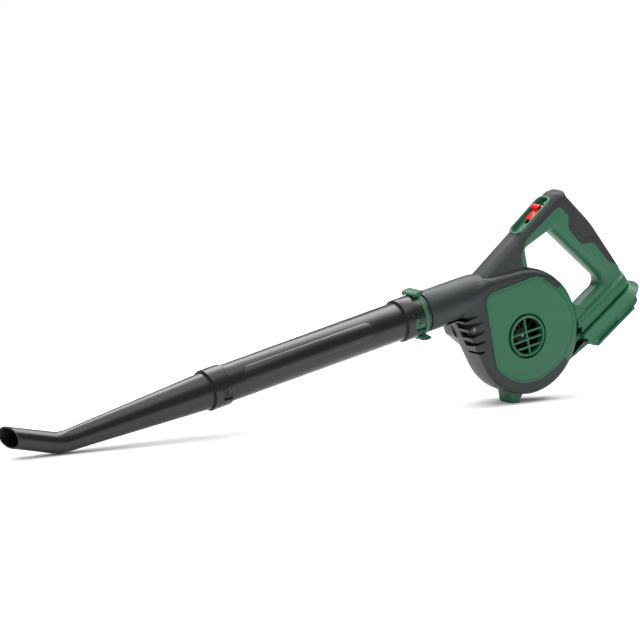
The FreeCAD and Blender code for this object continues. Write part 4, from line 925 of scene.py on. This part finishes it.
def paintShadeBand(piece, low, high, inner):
    # painted shade: faces between two stations and beyond the inner radius get the near-black matt material, where
    # a collar's front step or a tube's end falls in its own shadow
    piece.data.materials.append(paint["blackNylonAndPaintedShade"])
    index = len(piece.data.materials) - 1
    back = tubePlace.inverted()
    for face in piece.data.polygons:
        centre = back @ face.center
        if low < centre.x < high and math.hypot(centre.y, centre.z) > inner:
            face.material_index = index


def pinDisc(name, x, low, high, angle):
    place = tubePlace @ Matrix.Rotation(math.radians(angle), 4, "X")
    return rod(name, x, 0.0, bayonet["pinRadius"], low, high, place, None, 28)


def slotTools(rear, pinX):
    # The bayonet slot as a path over the collar: an entry leg, a cross leg and a relief slit.
    half, reach = bayonet["slotHalf"], bayonet["slotReach"]
    # the slot and slit cutters leave their near-black material on the cut walls: painted shade
    tools = []
    for turn in (0.0, 180.0):
        place = tubePlace @ Matrix.Rotation(math.radians(turn), 4, "X")
        tools.append(profileSlab("slot", corners((pinX - half, -half * 4.2, half * 0.8),
                                                 (rear + 3.0, -half * 4.6), (rear + 3.0, -half * 1.6),
                                                 (pinX + half, -half * 2.0, 0.8),
                                                 (pinX + half, half, half * 0.9),
                                                 (pinX - half, half, half * 0.9)),
                                 ((0.0, -reach), (0.0, -18.0)), place, paint["blackNylonAndPaintedShade"]))
        tools.append(profileSlab("slit", corners((pinX - 7.2, 10.2, 0.5), (pinX - 1.6, 1.8), (pinX + 0.6, 3.0),
                                                 (pinX - 5.0, 11.6, 0.5)), ((0.0, -reach), (0.0, -25.6)), place,
                                 paint["blackNylonAndPaintedShade"]))
    return tools


# the bare raised panel: middle is its place along the tube and turn the angle it faces
tubePanel = {"middle": -322.0, "reach": 98.0, "high": 0.5, "turn": -69.0, "spread": 27.0, "endRound": 9.0,
             "steps": 24}


def makeTubePanel():
    size = tubePanel
    middle, rings = size["middle"], []
    for k in range(size["steps"] + 1):
        part = -1 + 2 * k / size["steps"]
        end = size["reach"] - size["endRound"] * (1 - math.sqrt(max(0.0, 1 - part * part)))
        angle = math.radians(size["turn"] + size["spread"] * part)
        lift = size["high"] if abs(part) < 0.93 else 0.05
        ring = [(middle - end, 24.05 + lift - 0.3), (middle - end + 1.2, 24.05 + lift),
                (middle + end - 1.2, 24.5 + lift), (middle + end, 24.5 + lift - 0.3), (middle + end, 23.0),
                (middle - end, 23.0)]
        rings.append([(x, r * math.sin(angle), r * math.cos(angle)) for x, r in ring])
    return loftRings("panel", rings, tubePlace, paint["tubeNylon"])


def makeMiddleTube():
    edge = bayonet["ringEdge"]
    tube = turnedPiece("middleTube", corners((-465.9, 21.95), (-171.5, 22.7), (-171.5, 25.4), (edge, 25.4),
                                             (edge, 27.5, 0.6), (-173.1, 27.5, 0.5), (-173.3, 24.0, 0.2),
                                             (-175.4, 24.0, 0.3), (-176.4, 24.74, 0.3), (-441.3, 23.95),
                                             (-442.1, 23.9), (-465.9, 23.9, 0.6)),
                       tubePlace, paint["tubeNylon"], 128)
    # painted shade: the collar's front step and the tube's end inside the nozzle collar, seen through its slots,
    # are drawn near black
    paintShadeBand(tube, -176.0, -172.9, 23.5)
    paintShadeBand(tube, -466.5, -441.8, 22.5)
    carve(tube, slotTools(edge, bayonet["ringPin"]))
    carve(tube, [makeTubePanel()], "UNION")
    return tube


def makeTubePin(name, x, low, high, finish):
    pins = pinDisc(name, x, low, high, 0.0)
    pins.data.materials.append(paint[finish])
    carve(pins, [pinDisc("pin", x, low, high, 180.0)], "UNION")
    return pins


finishPiece(makeLockRing(), "blower", ["lock_ring"], edge=0.35)
finishPiece(makeTubePin("ringPins", bayonet["ringPin"], -28.0, -24.6, "greenAbs"), "blower",
            edge=0.3)
finishPiece(makeMiddleTube(), "tube", ["middle_tube"])
finishPiece(makeTubePin("tubePins", bayonet["nozzlePin"], -26.8, -23.4, "darkNylon"), "tube",
            edge=0.3)

nozzleSize = {"rise": 23.0, "tip": 13.3, "wall": 1.8, "root": 23.5, "flareAtBend": 0.3, "taperStart": -471.4,
              "tipLength": 74.0, "bend": 62.0, "slantUp": 0.42, "slantFar": 0.54,
              "taperSteps": 14, "bendSteps": 10, "tipSteps": 6, "around": 96,
              "collarOutside": ((-441.6, 25.8), (-442.2, 26.35), (-467.8, 26.35), (-468.2, 26.0), (-468.3, 25.0),
                                (-468.4, 23.0), (-470.2, 22.8), (-470.9, 23.2)),
              "collarInside": ((-466.6, 21.8), (-466.6, 24.2), (-441.6, 24.2))}


def makeNozzle():
    # One wall swept out along the bend and back inside it. The mouth is cut at a slant.
    size = nozzleSize
    slope, rise = math.radians(stance["pitch"]), math.radians(size["rise"])
    bendX = -(fanPoint.z / mm + math.cos(slope) * stance["ductHeight"] - size["tip"]) / math.sin(slope)
    setback = size["bend"] * math.tan(rise / 2)
    taperStart, taperEnd = size["taperStart"], bendX + setback
    tip, flare = size["tip"], size["flareAtBend"]
    stations = []  # x, z, angle, radius, slant
    for k in range(size["taperSteps"] + 1):
        part = k / size["taperSteps"]
        stations.append((taperStart + (taperEnd - taperStart) * part, 0.0, 0.0,
                         size["root"] + (tip + flare - size["root"]) * part, 0.0))
    for k in range(1, size["bendSteps"] + 1):
        part = k / size["bendSteps"]
        angle = rise * part
        stations.append((taperEnd - math.sin(angle) * size["bend"], (1 - math.cos(angle)) * size["bend"], angle,
                         tip + flare * (1 - part), 0.0))
    for k in range(1, size["tipSteps"] + 1):
        part = k / size["tipSteps"]
        along = setback + (size["tipLength"] - setback) * part
        stations.append((bendX - math.cos(rise) * along, math.sin(rise) * along, rise, tip, part))
    outside = [(x, 0.0, 0.0, r, 0.0) for x, r in size["collarOutside"]] + stations
    inside = [(x, z, angle, r - size["wall"], slant) for x, z, angle, r, slant in stations[::-1]]
    inside += [(x, 0.0, 0.0, r, 0.0) for x, r in size["collarInside"]]
    rings = []
    for x, z, angle, radius, slant in outside + inside:
        ring = []
        for k in range(size["around"]):
            turn = 2 * math.pi * k / size["around"]
            up = radius * math.cos(turn)
            side = radius * math.sin(turn)
            ahead = (up * size["slantUp"] + side * size["slantFar"]) * slant
            ring.append((x + math.sin(angle) * up - math.cos(angle) * ahead, side,
                         z + math.cos(angle) * up + math.sin(angle) * ahead))
        rings.append(ring)
    body = loftRings("taperedNozzle", rings, tubePlace, paint["tubeNylon"], closed=True)
    # painted shade on the nozzle collar's front step
    paintShadeBand(body, -471.2, -468.1, 22.2)
    carve(body, slotTools(bayonet["nozzleEdge"], bayonet["nozzlePin"]))
    return body


finishPiece(makeNozzle(), "nozzle", ["nozzle"])
print("tubes done")


# Floor, light and camera.

# lengths here are in metres; the area lights give place, aim, size and power
studio = {"floorSize": 60.0, "floor": "#ffffff", "worldStrength": 0.26,
          "overhead": 2.45, "overheadAngle": 70, "overheadTurn": (12, -14),
          "stripSide": ((-1.6, -2.4, 1.5), (-0.25, 0, 0.1), (2.6, 0.35), 16.0),
          "topPanel": ((0.5, 0.55, 1.5), (-0.3, 0, 0.1), (2.4, 0.8), 44.0),
          "azimuth": 34.0, "elevation": 9.0, "distance": 8.0, "lens": 360.0, "sensor": 36.0,
          "target": (-0.29205, 0.0, 0.131678)}


def makeFloor():
    half = studio["floorSize"] / 2
    mesh = bpy.data.meshes.new("floor")
    mesh.from_pydata([(-half, -half, 0), (half, -half, 0), (half, half, 0), (-half, half, 0)], [], [(0, 1, 2, 3)])
    floor = bpy.data.objects.new("floor", mesh)
    bpy.context.scene.collection.objects.link(floor)
    material = bpy.data.materials.new("studioFloor")
    material.use_nodes = True
    shader = material.node_tree.nodes["Principled BSDF"]
    shader.inputs["Base Color"].default_value = linearColour(studio["floor"])
    shader.inputs["Roughness"].default_value = 0.9
    shader.inputs["Specular IOR Level"].default_value = 0.0
    mesh.materials.append(material)


def addLight(name, place, aim, size, power):
    data = bpy.data.lights.new(name, "AREA")
    data.shape = "RECTANGLE"
    data.size, data.size_y = size
    data.energy = power
    lamp = bpy.data.objects.new(name, data)
    bpy.context.scene.collection.objects.link(lamp)
    lamp.location = place
    lamp.rotation_euler = (Vector(aim) - Vector(place)).to_track_quat("-Z", "Y").to_euler()


def makeStudio():
    world = bpy.data.worlds.new("studioWorld")
    bpy.context.scene.world = world
    world.use_nodes = True
    back = world.node_tree.nodes["Background"]
    back.inputs["Color"].default_value = (1, 1, 1, 1)
    back.inputs["Strength"].default_value = studio["worldStrength"]
    bpy.context.scene.view_settings.view_transform = "Standard"
    overhead = bpy.data.lights.new("overhead", "SUN")
    overhead.energy = studio["overhead"]
    overhead.angle = math.radians(studio["overheadAngle"])
    lamp = bpy.data.objects.new("overhead", overhead)
    bpy.context.scene.collection.objects.link(lamp)
    tilt, roll = studio["overheadTurn"]
    lamp.rotation_euler = (math.radians(tilt), math.radians(roll), 0)
    for name in ("stripSide", "topPanel"):
        addLight(name, *studio[name])


def makeCamera():
    data = bpy.data.cameras.new("camera")
    data.lens = studio["lens"]
    data.sensor_width = studio["sensor"]
    data.clip_end = 100.0
    camera = bpy.data.objects.new("camera", data)
    bpy.context.scene.collection.objects.link(camera)
    turn, lift = math.radians(studio["azimuth"]), math.radians(studio["elevation"])
    back = Vector((-math.sin(turn) * math.cos(lift), -math.cos(turn) * math.cos(lift), math.sin(lift)))
    target = Vector(studio["target"])
    camera.location = target + back * studio["distance"]
    camera.rotation_euler = (target - camera.location).to_track_quat("-Z", "Y").to_euler()
    bpy.context.scene.camera = camera


makeFloor()
makeStudio()
makeCamera()
print("studio done")
